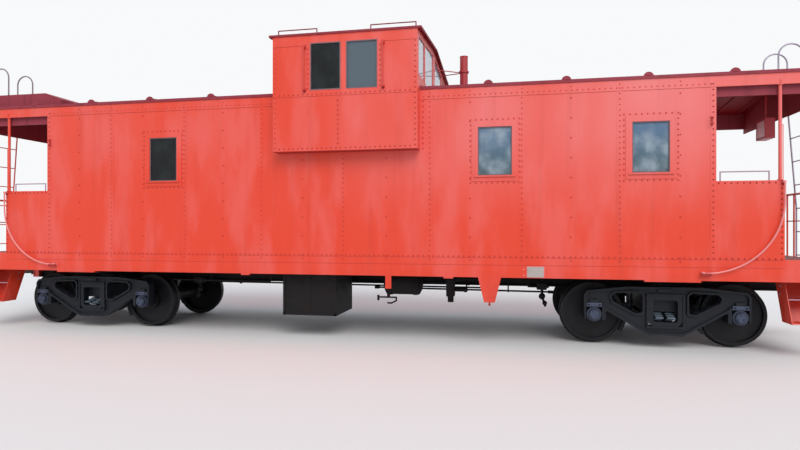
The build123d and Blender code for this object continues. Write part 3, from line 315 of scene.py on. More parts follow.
def makeCastGroup():
    # rough cast or rolled steel: pores, rust in patches and a paler colour on what faces up, which is dust
    # and, on the trucks and springs, painted sky sheen
    group, given, result = newGroup("castMetal", castColours, castAmounts)
    place = placeIn(group)
    patches = times(group, noiseMask(group, place, 5, 8, 0.48, 0.7), given["Rusting"])
    metal = mixColour(group, patches, given["Metal"], given["Rust"])
    upward = addNode(group, "MapRange", {"Value": facingUp(group), "From Min": 0.2, "From Max": 1.0})
    # dust, and painted sheen, on faces that look up
    dust = times(group, upward.outputs["Result"], noiseMask(group, place, 9, 5, 0.3, 0.7))
    metal = mixColour(group, times(group, dust, given["Dusting And Sheen"]), metal, given["Dust And Sheen"])
    grain = noiseMask(group, place, 70, 4, 0.25, 0.8)
    rough = calculate(group, "ADD", given["Gloss"], times(group, grain, 0.15))
    rough = calculate(group, "ADD", rough, times(group, patches, 0.3))
    pores = addNode(group, "Bump", {"Height": grain, "Strength": given["Pores"], "Distance": 0.003})
    giveResult(group, result, metal, rough, pores.outputs["Normal"])
    return group


def newMaterial(name):
    material = bpy.data.materials.new(name)
    material.use_nodes = True
    return material, material.node_tree, material.node_tree.nodes["Principled BSDF"]


def groupMaterial(name, group, values, shader):
    # a finish made by one of the groups, with the shader's own even values
    material, tree, surface = newMaterial(name)
    finish = tree.nodes.new("ShaderNodeGroup")
    finish.node_tree = group
    for label, value in values.items():
        finish.inputs[label].default_value = colour(*value) if isinstance(value, tuple) else value
    for label, socket in (("Color", "Base Color"), ("Roughness", "Roughness"), ("Normal", "Normal")):
        join(tree, finish.outputs[label], surface.inputs[socket])
    for label, value in shader.items():
        surface.inputs[label].default_value = value
    material.diffuse_color = finish.inputs[0].default_value
    return material


# the paint colours and amounts in the order above, then the shader's own values
# each paint's second colour is its faded tone and also its painted sheen
paints = {
    "bodyRed": ((225, 61, 30), (234, 126, 126), (150, 36, 30), 0.80, 0.20, 0.11, 1.05, 0.36, 0.10,
                {"Coat Weight": 0.06, "Coat Roughness": 0.3}),
    # a darker red for small irons and for painted shade: the shadow lines at laps and seams, the cupola bay's
    # underside and the darker rivets
    "seamAndShadeRed": ((168, 34, 28), (178, 52, 48), (96, 22, 22), 0.6, 0.45, 0.2, 1.05, 0.45, 0.0, {}),
    # rivet heads are a darker red than the body: grime and painted shade round them
    "shadedRivetRed": ((198, 50, 40), (206, 76, 72), (110, 28, 26), 0.7, 0.45, 0.2, 1.05, 0.42, 0.0, {}),
    "jackRed": ((164, 30, 40), (196, 70, 78), (84, 20, 24), 0.7, 0.45, 0.3, 1.05, 0.38, 0.0,
                {"Coat Weight": 0.1}),
    "roofRed": ((142, 54, 66), (156, 72, 82), (60, 20, 24), 0.6, 0.45, 0.3, 1.0, 0.55, 0.2,
                {"Specular IOR Level": 0.18}),
    "ironRed": ((214, 66, 54), (226, 96, 88), (140, 50, 44), 0.6, 0.45, 0.1, 1.0, 0.34, 0.0,
                {"Coat Weight": 0.15, "Coat Roughness": 0.2}),
    "ladderRed": ((224, 88, 78), (234, 130, 124), (150, 60, 54), 0.6, 0.45, 0.1, 1.0, 0.34, 0.0,
                  {"Coat Weight": 0.15, "Coat Roughness": 0.2}),
}
# the same for cast and rolled steel
castings = {
    "underframe": ((20, 18, 20), (40, 27, 23), (64, 59, 56), 0.5, 0.25, 0.6, 0.3,
                   {"Metallic": 0.1, "Specular IOR Level": 0.3}),
    # the truck's and the springs' bluish colour on faces that look up is painted sky sheen
    "truck": ((24, 29, 37), (31, 28, 29), (76, 87, 104), 0.35, 0.45, 0.40, 0.5,
              {"Metallic": 0.2, "Specular IOR Level": 0.35}),
    "spring": ((86, 100, 112), (66, 62, 62), (138, 150, 158), 0.3, 0.6, 0.40, 0.2, {"Metallic": 0.3}),
    "bearingBlue": ((66, 76, 98), (54, 50, 54), (118, 126, 142), 0.4, 0.4, 0.42, 0.3, {"Metallic": 0.3}),
    "coupler": ((58, 50, 46), (96, 60, 44), (120, 110, 100), 0.6, 0.3, 0.5, 0.6, {"Metallic": 0.3}),
    "galvanised": ((166, 160, 178), (132, 110, 116), (196, 192, 198), 0.35, 0.2, 0.38, 0.15,
                   {"Metallic": 0.45}),
    "deck": ((92, 44, 40), (74, 50, 42), (140, 126, 116), 0.6, 0.5, 0.65, 0.5, {}),
    "wheel": ((22, 23, 27), (29, 26, 26), (60, 61, 66), 0.4, 0.25, 0.42, 0.4,
              {"Metallic": 0.3, "Specular IOR Level": 0.35}),
    "plateSilver": ((176, 168, 162), (104, 92, 86), (196, 192, 188), 0.95, 0.2, 0.4, 0.2,
                    {"Metallic": 0.3}),
    "sashGrey": ((112, 96, 104), (92, 60, 62), (150, 142, 148), 0.4, 0.4, 0.4, 0.1, {"Metallic": 0.2}),
    "lensPale": ((232, 228, 240), (206, 198, 216), (240, 236, 242), 0.4, 0.2, 0.25, 0.1, {}),
}
finishes = {}
for table, group, labels in ((paints, makePaintGroup(), paintColours + paintAmounts),
                             (castings, makeCastGroup(), castColours + castAmounts)):
    for name, (*values, shader) in table.items():
        finishes[name] = groupMaterial(name, group, dict(zip(labels, values)), shader)


def blendOver(name, mask, tint):
    # lays another colour over a finish
    tree = finishes[name].node_tree
    base = tree.nodes["Principled BSDF"].inputs["Base Color"]
    join(tree, mixColour(tree, mask, base.links[0].from_socket, colour(*tint)), base)


def tinted(name, axis, low, high, tint):
    # another colour above a height, or beyond a distance from the middle along X or Y
    tree = finishes[name].node_tree
    place = split(tree, placeIn(tree))[axis]
    if axis != "Z":
        place = calculate(tree, "ABSOLUTE", place, 0.0)
    blendOver(name, ramp(tree, place, low, high), tint)


def shadedBelow(name, tint):
    # faces that look down get a deeper colour: painted shade
    tree = finishes[name].node_tree
    blendOver(name, ramp(tree, times(tree, facingUp(tree), -1.0), 0.2, 0.6), tint)


tinted("ironRed", "X", 1.5, 4.0, (164, 136, 158))
# painted highlight: the grab irons standing out beside the side walls go pale pink; the cupola's irons,
# further out, go back to red
tinted("ironRed", "Y", 1.4175, 1.4195, (228, 134, 132))
tinted("ironRed", "Y", 1.50, 1.60, (206, 60, 50))
tinted("ladderRed", "Z", 3.60, 3.80, (128, 112, 122))
tinted("wheel", "Y", 0.940, 0.950, (56, 62, 78))
# painted shade on the soffits under the end roofs and on the body's downward faces
shadedBelow("roofRed", (126, 2, 16))
shadedBelow("bodyRed", (178, 36, 34))

# places between which the panes change from one look to the next
glass = {"sky": (2.35, 2.95), "rightSide": (0.04, 0.10), "aboveSeam": (3.50, 3.52), "rightEnd": (0.90, 1.00)}


def makeGlass():
    # panes with a painted sky reflection: on the right half of the car, bluer higher up and with soft cloudy
    # smears of dust; in the cupola grey-blue, palest at its right end; the left ones are dark, a painted shade
    material, tree, surface = newMaterial("windowGlass")
    place = placeIn(tree)
    axes = split(tree, place)
    smears = noiseMask(tree, stretched(tree, place, (2.6, 2.6, 2.0)), 1.6, 5, 0.38, 0.70)
    skyReflection = mixColour(tree, ramp(tree, axes["Z"], *glass["sky"]), colour(94, 120, 130), colour(110, 140, 170))
    smearedReflection = mixColour(tree, smears, skyReflection, colour(172, 190, 202))
    shadedPane = mixColour(tree, smears, colour(12, 18, 20), colour(34, 44, 46))
    rightSide = ramp(tree, axes["X"], *glass["rightSide"])
    rightEnd = ramp(tree, axes["X"], *glass["rightEnd"])
    brightReflection = mixColour(tree, rightEnd, colour(104, 120, 130), colour(206, 219, 234))
    lookout = mixColour(tree, rightSide, shadedPane, brightReflection)
    low = mixColour(tree, rightSide, shadedPane, smearedReflection)
    pane = mixColour(tree, ramp(tree, axes["Z"], *glass["aboveSeam"]), low, lookout)
    join(tree, pane, surface.inputs["Base Color"])
    join(tree, calculate(tree, "ADD", times(tree, smears, 0.08), 0.03), surface.inputs["Roughness"])
    for label, value in (("Transmission Weight", 0.35), ("Specular IOR Level", 0.25), ("IOR", 1.45)):
        surface.inputs[label].default_value = value
    return material


def makeTreadPlate():
    # worn deck paint over a raised lozenge pattern
    material, tree, surface = newMaterial("treadPlate")
    place = placeIn(tree)
    wear = noiseMask(tree, place, 3.0, 6, 0.40, 0.65)
    join(tree, mixColour(tree, wear, colour(120, 36, 34), colour(92, 66, 58)), surface.inputs["Base Color"])
    surface.inputs["Roughness"].default_value = 0.6
    lozenges = addNode(tree, "TexVoronoi", {"Vector": place, "Scale": 26, "Randomness": 0.0},
                       distance="MANHATTAN")
    bump = addNode(tree, "Bump", {
        "Height": lozenges.outputs["Distance"], "Strength": 0.5, "Distance": 0.004}, invert=True)
    join(tree, bump.outputs["Normal"], surface.inputs["Normal"])
    return material


finishes["glass"] = makeGlass()
finishes["treadPlate"] = makeTreadPlate()

slotFinish = {
    "body_red": "bodyRed", "roof_red": "roofRed", "underframe_black": "underframe", "truck_steel": "truck",
    "wheel_steel": "wheel", "coupler_steel": "coupler", "galvanised_steel": "galvanised",
    "deck_paint": "deck", "glass": "glass",
}
nodeFinish = {
    "ladder_left": "ladderRed", "grab_irons_near": "ironRed", "grab_irons_far": "ironRed",
    "left_truck_leaf_springs": "spring", "right_truck_leaf_springs": "spring",
    "smoke_jack": "jackRed", "smoke_jack_braces": "jackRed", "platform_lamp": "jackRed",
}
for part in frame["record"]["subparts"]:
    node = frame["nodes"][part["node"]]
    node.data.materials.clear()
    node.data.materials.append(finishes[nodeFinish.get(part["node"], slotFinish[part["material_slot"]])])
print("finishes made")


# Rivets

rivet = {
    "radius": 0.0115, "height": 0.0085, "sides": 8, "rings": 6, "lift": 0.001,
    "pitch": 0.070, "wide": 0.280,  # along a dense and along a sparse column
    "dense": (-3.740, -2.494, -1.247, 0.0, 1.247, 2.494, 3.740),
    "sparse": (-4.310, -3.195, -1.858, -0.611, 0.632, 1.802, 3.130, 4.473),
    "topRow": 3.440, "bottomRow": 1.236, "extraRow": 1.188, "aboveTop": 0.05,
    "cornerEdge": 0.035, "wallEdge": 0.030, "railRow": 0.028, "rowEnd": 0.1, "topRowEnd": 0.06,
    "rowGap": 0.05, "besideCupola": 0.045, "frameGap": 0.02,
    "cupolaRow": 3.500, "cupolaEdge": 0.032, "cupolaPosts": (-0.455, 0.590),
    "endColumns": (-1.385, -0.45, 0.45, 1.385), "endRows": (1.30, 2.16, 3.40),
    "sillRows": (0.975, 1.16), "sillReach": 1.30, "sillPitch": 0.10, "sillMiddle": 0.28,
}


def makeRivetHead():
    # a domed head standing on its flat side, along +Z
    bm = bmesh.new()
    bmesh.ops.create_uvsphere(bm, u_segments=rivet["sides"], v_segments=rivet["rings"],
                              radius=rivet["radius"])
    bmesh.ops.bisect_plane(bm, geom=bm.verts[:] + bm.edges[:] + bm.faces[:], plane_co=(0, 0, 0),
                           plane_no=(0, 0, -1), clear_outer=True)
    bmesh.ops.scale(bm, vec=(1, 1, rivet["height"] / rivet["radius"]), verts=bm.verts)
    return makeMesh(bm, "rivetHead")


rivetHead = makeRivetHead()


def spread(start, end, pitch):
    # evenly spaced places from start to end, about a pitch apart
    count = max(1, round(abs(end - start) / pitch))
    return [start + (end - start) * index / count for index in range(count + 1)]


def addHeads(bm, places, outward):
    turn = Vector((0, 0, 1)).rotation_difference(Vector(outward)).to_matrix().to_4x4()
    for place in places:
        matrix = Matrix.Translation(place) @ turn
        rivetHead.transform(matrix)
        bm.from_mesh(rivetHead)
        rivetHead.transform(matrix.inverted())


def looseParts(node):
    # lowest and highest corner of each solid of a node, found by its joined vertices
    bm = bmesh.new()
    bm.from_mesh(frame["nodes"][node].data)
    bmesh.ops.remove_doubles(bm, verts=bm.verts, dist=0.0002)
    found, seen = [], set()
    for first in bm.verts:
        if first in seen:
            continue
        group, queue = [], [first]
        seen.add(first)
        while queue:
            vert = queue.pop()
            group.append(vert.co.copy())
            for edge in vert.link_edges:
                other = edge.other_vert(vert)
                if other not in seen:
                    seen.add(other)
                    queue.append(other)
        found.append([Vector([pick(co[axis] for co in group) for axis in range(3)]) for pick in (min, max)])
    bm.free()
    return sorted(found, key=lambda pair: pair[0].x)


windowPlates = looseParts("window_frames_near")
panes = looseParts("window_glass")
cupolaPanes = looseParts("cupola_glass")
cupolaLow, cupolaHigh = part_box("cupola_side_near")
cupolaHalf = -cupolaLow.y


def underCupola(x):
    return cupolaLow.x < x < cupolaHigh.x


def sideRivetPlaces():
    # X and Z pairs on the flat side of the body
    half, end, rail = car["halfLength"], car["bulwarkEnd"], car["bulwarkTop"]
    pitch, lowest, highest, away = rivet["pitch"], rivet["bottomRow"], rivet["topRow"], rivet["rowEnd"]
    places = [(x, lowest) for x in spread(away - end, end - away, pitch)]
    for columns, gap, drop, step in ((rivet["dense"], rivet["wallEdge"], 0, pitch),
                                     (rivet["sparse"], away, away, rivet["wide"])):
        for x in columns:
            top = cupolaLow.z - gap if underCupola(x) else highest - drop
            places += [(x, z) for z in (*spread(lowest, top, step), rivet["extraRow"])]
            if not underCupola(x):
                places.append((x, highest + rivet["aboveTop"]))
    for side in both:
        places += [(side * (half - rivet["cornerEdge"]), z) for z in spread(lowest, highest, pitch)]
        places += [(side * (end - rivet["wallEdge"]), z)
                   for z in spread(lowest, rail - rivet["wallEdge"], pitch)]
        places += [(x, rail - rivet["railRow"])
                   for x in spread(side * (half + rivet["wallEdge"]), side * (end - away), pitch)]
        bay = cupolaHigh.x if side > 0 else cupolaLow.x
        places += [(x, highest) for x in spread(bay + side * rivet["rowGap"],
                                                side * (half - rivet["topRowEnd"]), pitch)]
        places += [(bay + side * rivet["besideCupola"], z)
                   for z in spread(cupolaLow.z + rivet["frameGap"], highest - rivet["topRowEnd"], pitch)]
    for low, high in windowPlates:
        middle = (low + high) / 2
        wide, _, tall = (high - low) / 2 + Vector([rivet["frameGap"]] * 3)
        places += [(middle.x + s, middle.z + k * tall) for s in spread(-wide, wide, pitch) for k in both]
        places += [(middle.x + k * wide, middle.z + s)
                   for s in spread(-tall, tall, pitch)[1:-1] for k in both]
    return places


def cupolaRivetPlaces():
    low, high, row, pitch = cupolaLow, cupolaHigh, rivet["cupolaRow"], rivet["pitch"]
    edge, away = rivet["cupolaEdge"], rivet["rowEnd"]
    places = [(x, z) for x in spread(low.x + away, high.x - away, pitch) for z in (low.z + 0.035, row)]
    for columns, start, stop in (((low.x + edge, high.x - edge), low.z + 0.05, high.z - 0.16),
                                 (((low.x + high.x) / 2 - 0.08,), low.z + away, row - away),
                                 (rivet["cupolaPosts"], row + 0.08, high.z - 0.19)):
        places += [(x, z) for x in columns for z in spread(start, stop, pitch)]
    return places


def endRivetPlaces():
    # Y and Z pairs on an end wall
    columns, rows, pitch = rivet["endColumns"], rivet["endRows"], rivet["pitch"]
    places = [(y, z) for y in columns for z in spread(rows[0], rivet["topRow"], pitch)]
    for start, stop in (columns[:2], columns[2:]):
        places += [(y, z) for y in spread(start, stop, pitch)[1:-1] for z in rows]
    return places


def makeRivets():
    sidePlaces, cupolaPlaces, endPlaces = sideRivetPlaces(), cupolaRivetPlaces(), endRivetPlaces()
    edge = car["halfLength"] - 0.1
    for label, side in lateral:
        bm, dark = bmesh.new(), bmesh.new()
        # rivets at the corners, at the cupola's right edge and along its foot get the darker red: deeper
        # painted shade
        for half, places, deeperShade in (
                (car["halfWidth"], sidePlaces, lambda x, z: abs(x) >= edge),
                (cupolaHalf, cupolaPlaces, lambda x, z: x > cupolaHigh.x - 0.05 or z < cupolaLow.z + 0.04)):
            for x, z in places:
                addHeads(dark if deeperShade(x, z) else bm, [(x, side * (half + rivet["lift"]), z)], (0, side, 0))
        finishPiece(bm, "rivets" + label, "shadedRivetRed", smooth=True)
        finishPiece(dark, "shadedEdgeRivets" + label, "seamAndShadeRed", smooth=True)
    bm = bmesh.new()
    reach = rivet["sillReach"]
    for side in both:
        addHeads(bm, [(side * car["halfLength"], y, z) for y, z in endPlaces], (side, 0, 0))
        addHeads(bm, [(side * car["endSill"], y, z) for y in spread(-reach, reach, rivet["sillPitch"])
                      for z in rivet["sillRows"] if abs(y) > rivet["sillMiddle"]], (side, 0, 0))
    finishPiece(bm, "rivetsEnds", "seamAndShadeRed", smooth=True)


makeRivets()
print("rivets made")


# Laps of the sheets, and painted shadow lines at their edges

lap = {
    "width": 0.074, "proud": 0.0022, "boardProud": 0.0034, "lineProud": 0.0012,
    "corner": 0.068, "bayEdge": 0.062, "bayTop": 4.185, "baySeam": 3.470, "baySash": (-0.475, 0.610),
    "shadow": 0.004,  # height of the painted shadow line under a lap
    # thickness of the painted shade strip on the cupola bay's underside
    "underBayShade": 0.003,
    # heights of the two painted shadow lines low on the side
    "lines": (1.1185, 1.218),
}


def makeLaps():
    # raised strips for the laps; in edges, thin dark strips of painted shadow under the letterboard band,
    # along two lines low on the side and along the cupola's seams, and painted shade under the cupola bay
    half, reach, board, foot = car["halfLength"], car["roofReach"], car["letterboard"], lap["lines"][1]
    low, high, thin, seam = cupolaLow, cupolaHigh, lap["shadow"] / 2, lap["baySeam"]
    strips = [(x - lap["width"] / 2, x + lap["width"] / 2, low.z if underCupola(x) else board)
              for x in rivet["dense"]]
    strips += [(end * (half - lap["corner"]), end * half, board) for end in both]
    for label, side in lateral:
        face, wall = side * car["halfWidth"], side * cupolaHalf
        skin, cheek = face + side * lap["proud"], wall + side * lap["proud"]
        band = face + side * lap["boardProud"]
        bm, edges = bmesh.new(), bmesh.new()
        for start, stop, top in strips:
            addBox(bm, (start, face, foot), (stop, skin, top))
        for start, stop in ((-reach, low.x), (high.x, reach)):
            addBox(bm, (start, face, board), (stop, band, car["wallTop"]))
            addBox(edges, (start, face, board - lap["shadow"]), (stop, band, board))
        for z in lap["lines"]:
            addBox(edges, (-car["bulwarkEnd"], face, z - thin),
                   (car["bulwarkEnd"], face + side * lap["lineProud"], z + thin))
        for start, stop, z in ((low.x, lap["baySash"][0], lap["bayTop"]), (low.x, high.x, seam),
                               (lap["baySash"][1], high.x, lap["bayTop"])):
            addBox(edges, (start, wall, z - thin), (stop, cheek, z + thin))
        addBox(edges, (low.x, face, low.z - lap["underBayShade"]), (high.x, wall, low.z))
        bayFoot = low.z + lap["corner"]
        for start in (low.x, high.x - lap["bayEdge"]):
            addBox(bm, (start, wall, bayFoot), (start + lap["bayEdge"], cheek, lap["bayTop"]))
        addBox(bm, (low.x, wall, low.z), (high.x, cheek, bayFoot))
        finishPiece(bm, "laps" + label, "bodyRed")
        finishPiece(edges, "lapShadowLines" + label, "seamAndShadeRed")


makeLaps()
print("laps made")


# Window sashes, casings of the doorways and drip strips

sash = {"side": 0.014, "end": 0.020, "depth": 0.016, "trim": 0.06, "trimDepth": 0.007}
casing = {
    "inner": 0.36, "outer": 0.43, "low": 1.235, "high": 3.20, "top": 3.27, "depth": 0.006,
    "drip": ((-0.46, 3.285), (0.46, 3.297)), "dripDepth": 0.05,
}


def makeSashes():
    bm, trim = bmesh.new(), bmesh.new()
    for low, high in panes + cupolaPanes:
        if high.y - low.y < thinPane:
            side = sign(low.y)
            addFrame(bm, low, high, high.y if side > 0 else low.y, side * sash["depth"], sash["side"], 0)
        elif high.x - low.x < thinPane and abs(low.x) > 2:
            side = sign(low.x)
            addFrame(bm, low, high, high.x if side > 0 else low.x, side * sash["depth"], sash["end"], 0)
    finishPiece(bm, "sashes", "sashGrey")
    inner, outer, foot, head = casing["inner"], casing["outer"], casing["low"], casing["high"]
    for side in both:
        wall = side * car["halfLength"]
        for low, high in panes:
            if high.x - low.x < thinPane and low.x * side > 2:
                addFrame(trim, low, high, wall, side * sash["trimDepth"], 0, sash["trim"])
        for y0, y1, z0, z1 in ((-outer, -inner, foot, head), (inner, outer, foot, head),
                               (-outer, outer, head, casing["top"])):
            addBox(trim, (wall, y0, z0), (wall + side * casing["depth"], y1, z1))
        start, stop = casing["drip"]
        addBox(trim, (wall, *start), (wall + side * casing["dripDepth"], *stop))
    finishPiece(trim, "endTrim", "bodyRed")


makeSashes()
print("sashes and trim made")


# Small irons on the sides

marker = {"x": 4.842, "heights": (2.93, 3.01), "y": car["halfWidth"] + 0.002, "reach": 0.045, "bar": 0.007}
plate = {
    "left": 2.565, "right": 2.780, "low": 0.960, "high": 1.100, "proud": 0.004, "rim": 0.008,
    "rimProud": 0.007, "rivets": (0.985, 1.065), "rivetGap": 0.045,
}
eye = {"shortest": 0.2, "shank": 0.012, "ball": 0.017}
foot = {"x": 4.709, "wall": car["halfWidth"], "reach": 1.468, "z": 1.036, "bolts": (0.012, 0.056, 0.100)}
postFoot = {"x": 0.045, "y": 0.018, "thick": 0.012, "radius": 0.034, "bolts": (0.020, 0.05)}


def makeMarkers():
    # U-shaped sockets for the marker lamps, on a back strip near each corner
    x, y, bar = marker["x"], marker["y"], marker["bar"]
    out, (low, high) = y + marker["reach"], marker["heights"]
    rows = [(addBox, (x - 0.010, y, low - 0.02), (x + 0.010, y + 0.006, high + 0.02))]
    for z in (low, high):
        rows += [(addRod, (x, y, z), (x, out, z), bar), (addRod, (x, out, z), (x - 0.042, out, z), bar)]
    dress("markerSockets", "seamAndShadeRed", rows, corners, smooth=True)


def makePlate():
    # a small bare plate in its frame on the near sill
    face, rim = -car["halfWidth"], plate["rim"]
    left, right, low, high = plate["left"], plate["right"], plate["low"], plate["high"]
    bm, edge = bmesh.new(), bmesh.new()
    addBox(bm, (left, face - plate["proud"], low), (right, face, high))
    for x0, x1, z0, z1 in ((left - rim, left, low, high), (right, right + rim, low, high),
                           (left - rim, right + rim, high, high + rim)):
        addBox(edge, (x0, face - plate["rimProud"], z0), (x1, face, z1))
    addHeads(edge, [(left - plate["rivetGap"], face, z) for z in plate["rivets"]], (0, -1, 0))
    finishPiece(bm, "sillPlate", "plateSilver")
    finishPiece(edge, "sillPlateRim", "ironRed")


def makeHooks():
    # an eye at the foot of each long sill bracket
    bm = bmesh.new()
    for low, high in looseParts("sill_brackets"):
        if high.x - low.x >= eye["shortest"]:
            x, y = (low.x + high.x) / 2, (low.y + high.y) / 2
            addRod(bm, (x, y, low.z + 0.004), (x, y, low.z - 0.020), eye["shank"])
            addBall(bm, (x, y, low.z - 0.028), eye["ball"])
    finishPiece(bm, "sillEyes", "seamAndShadeRed", smooth=True)


def makeIronFeet():
    # dark bolted pads behind the ends of the long sweeping irons
    place, wall, reach, z = foot["x"], foot["wall"], foot["reach"], foot["z"]
    rows = [(addRod, (place - 0.002, reach, 1.0402), (place + 0.115, reach, 1.0410), 0.0145),
            (addBox, (5.632, wall, 2.150), (5.668, wall + 0.010, 2.208), 0.004),
            (addBolt, (5.650, wall + 0.010, 2.165), outY, 0.018, 0.010)]
    for x in (place + offset for offset in foot["bolts"]):
        rows += [(addRod, (x, wall, z), (x, reach, z), 0.011),
                 (addBolt, (x, reach + 0.008, z), outY, 0.030, 0.012)]
    bm = bmesh.new()
    addRows(bm, rows, corners)
    out = cupolaHalf + 0.010
    for x in (-0.50, 0.635):
        for z in (3.556, 4.172):
            addRows(bm, [(addBox, (x - 0.020, cupolaHalf, z - 0.024), (x + 0.020, out, z + 0.024), 0.004),
                         (addBolt, (x - 0.004, out, z - 0.018), outY, 0.016, 0.008)], bothSides)
    finishPiece(bm, "ironFeet", "seamAndShadeRed")


def makePostFeet():
    # round flanges and bolts at both ends of each corner post
    bm = bmesh.new()
    for low, high in looseParts("corner_posts"):
        side = sign(low.y)
        x, y = sign(low.x) * (car["bulwarkEnd"] - postFoot["x"]), side * (car["halfWidth"] - postFoot["y"])
        for z in (low.z, high.z - postFoot["thick"]):
            addRod(bm, (x, y, z), (x, y, z + postFoot["thick"]), postFoot["radius"], 16)
        for dz in postFoot["bolts"]:
            addBolt(bm, (x, side * (car["halfWidth"] + lap["boardProud"]), high.z + dz), (0, side, 0),
                    0.018, 0.008)
    finishPiece(bm, "postFeet", "bodyRed", smooth=True)


makeMarkers()
makePlate()
makeHooks()
makeIronFeet()
makePostFeet()
print("side irons made")


# Under the end roofs

soffit = {
    "ribs": (5.10, 5.42, 5.74, 6.06), "width": 0.045, "depth": 0.022,
    "inset": 0.095, "lift": 0.0092,  # of the ribs' outer ends, from the side wall's face and top
}
lens = {"inset": 0.02, "low": 0.03, "high": 0.25, "proud": 0.004, "rim": 0.02, "side": 0.016,
        "top": 0.28, "rimProud": 0.008}


def makeSoffits():
    # thin carlines across the overhang, following the slope of the roof
    reach = car["halfWidth"] - soffit["inset"]
    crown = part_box("end_wall_right")[1].z - soffit["depth"] / 2
    eave = car["wallTop"] + soffit["lift"] - soffit["depth"] / 2
    bm = bmesh.new()
    for side in both:
        for x in (side * rib for rib in soffit["ribs"]):
            for half in both:
                addSlope(bm, (x, 0, crown), (x, half * reach, eave), soffit["width"], soffit["depth"])
    finishPiece(bm, "carlines", "roofRed", slot="roof_red")


def makeLampLens():
    # a pale pane in a rim on the doorway side of the platform lamp
    low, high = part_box("platform_lamp")
    left, right, foot, top = low.y, high.y, low.z, low.z + lens["top"]
    bm, rim = bmesh.new(), bmesh.new()
    addBox(bm, (low.x - lens["proud"], left + lens["inset"], foot + lens["low"]),
           (low.x, right - lens["inset"], foot + lens["high"]))
    for y0, y1, z0, z1 in ((left, right, foot, foot + lens["rim"]), (left, right, top - lens["rim"], top),
                           (left, left + lens["side"], foot, top), (right - lens["side"], right, foot, top)):
        addBox(rim, (low.x - lens["rimProud"], y0, z0), (low.x, y1, z1))
    finishPiece(bm, "lampPane", "lensPale")
    finishPiece(rim, "lampRim", "jackRed")


makeSoffits()
makeLampLens()
print("end roofs dressed")


# Platforms and end sills

deck = {"half": 1.36, "thick": 0.004, "inner": 0.02, "outer": 0.085}
# from the end sill's face outwards
striker = [(addBox, (0, y - 0.02, 0.74), (0.036, y + 0.02, 1.05), 0.006) for y in (-0.215, 0.215)]
striker += [(addBolt, (0, y, 1.02), outX) for y in (-1.2, -0.9, 0.9, 1.2)]
uncoupling = [(addBox, (0, y - 0.02, 1.03), (0.062, y + 0.02, 1.07)) for y in (0.42, 1.12)]
uncoupling += [(addPipe, [(0.052, 1.26, 0.86), (0.052, 1.20, 1.05), (0.052, 0.13, 1.05), (0.30, 0.13, 1.10)],
                0.011)]
step = {
    "treads": ((0.0, 0.0), (0.290, 0.11592)),  # height above the lowest tread and distance inwards
    "nose": 0.008, "inset": 0.005, "bolts": (0.35, 0.45), "boltInset": 0.33,
}


def makeDecks():
    # tread plate on the platforms
    bm = bmesh.new()
    floor = car["floorTop"]
    for side in both:
        addBox(bm, (side * (car["halfLength"] + deck["inner"]), -deck["half"], floor),
               (side * (car["endSill"] - deck["outer"]), deck["half"], floor + deck["thick"]))
    finishPiece(bm, "deckPlates", "treadPlate", slot="deck_paint")


def makeEndSills():
    # striker ribs, the uncoupling rod in its brackets, and bolts
    bm, iron = bmesh.new(), bmesh.new()
    for made, rows in ((bm, striker), (iron, uncoupling)):
        for side in both:
            addRows(made, rows, [(side, side, 1)], (side * car["endSill"], 0, 0))
    finishPiece(bm, "endSillIrons", "bodyRed")
    finishPiece(iron, "uncouplingRods", "seamAndShadeRed", smooth=True)


def makeStepTrim():
    # rolled noses on the treads and bolts on the cheeks
    bm = bmesh.new()
    nose = step["nose"]
    for low, high in looseParts("steps_left") + looseParts("steps_right"):
        side = sign(low.y)
        out = high.y if side > 0 else low.y
        for up, back in step["treads"]:
            y, z = out - side * (back + step["inset"]), low.z + up + nose
            addRod(bm, (low.x + nose, y, z), (high.x - nose, y, z), nose, 10)
        for x, turn in ((low.x, -1), (high.x, 1)):
            for up in step["bolts"]:
                addBolt(bm, (x, out - side * step["boltInset"], low.z + up), (turn, 0, 0), 0.018, 0.009)
    finishPiece(bm, "stepTrim", "ironRed", smooth=True)


makeDecks()
makeEndSills()
makeStepTrim()
print("platforms dressed")


# Pipes and rigging under the floor

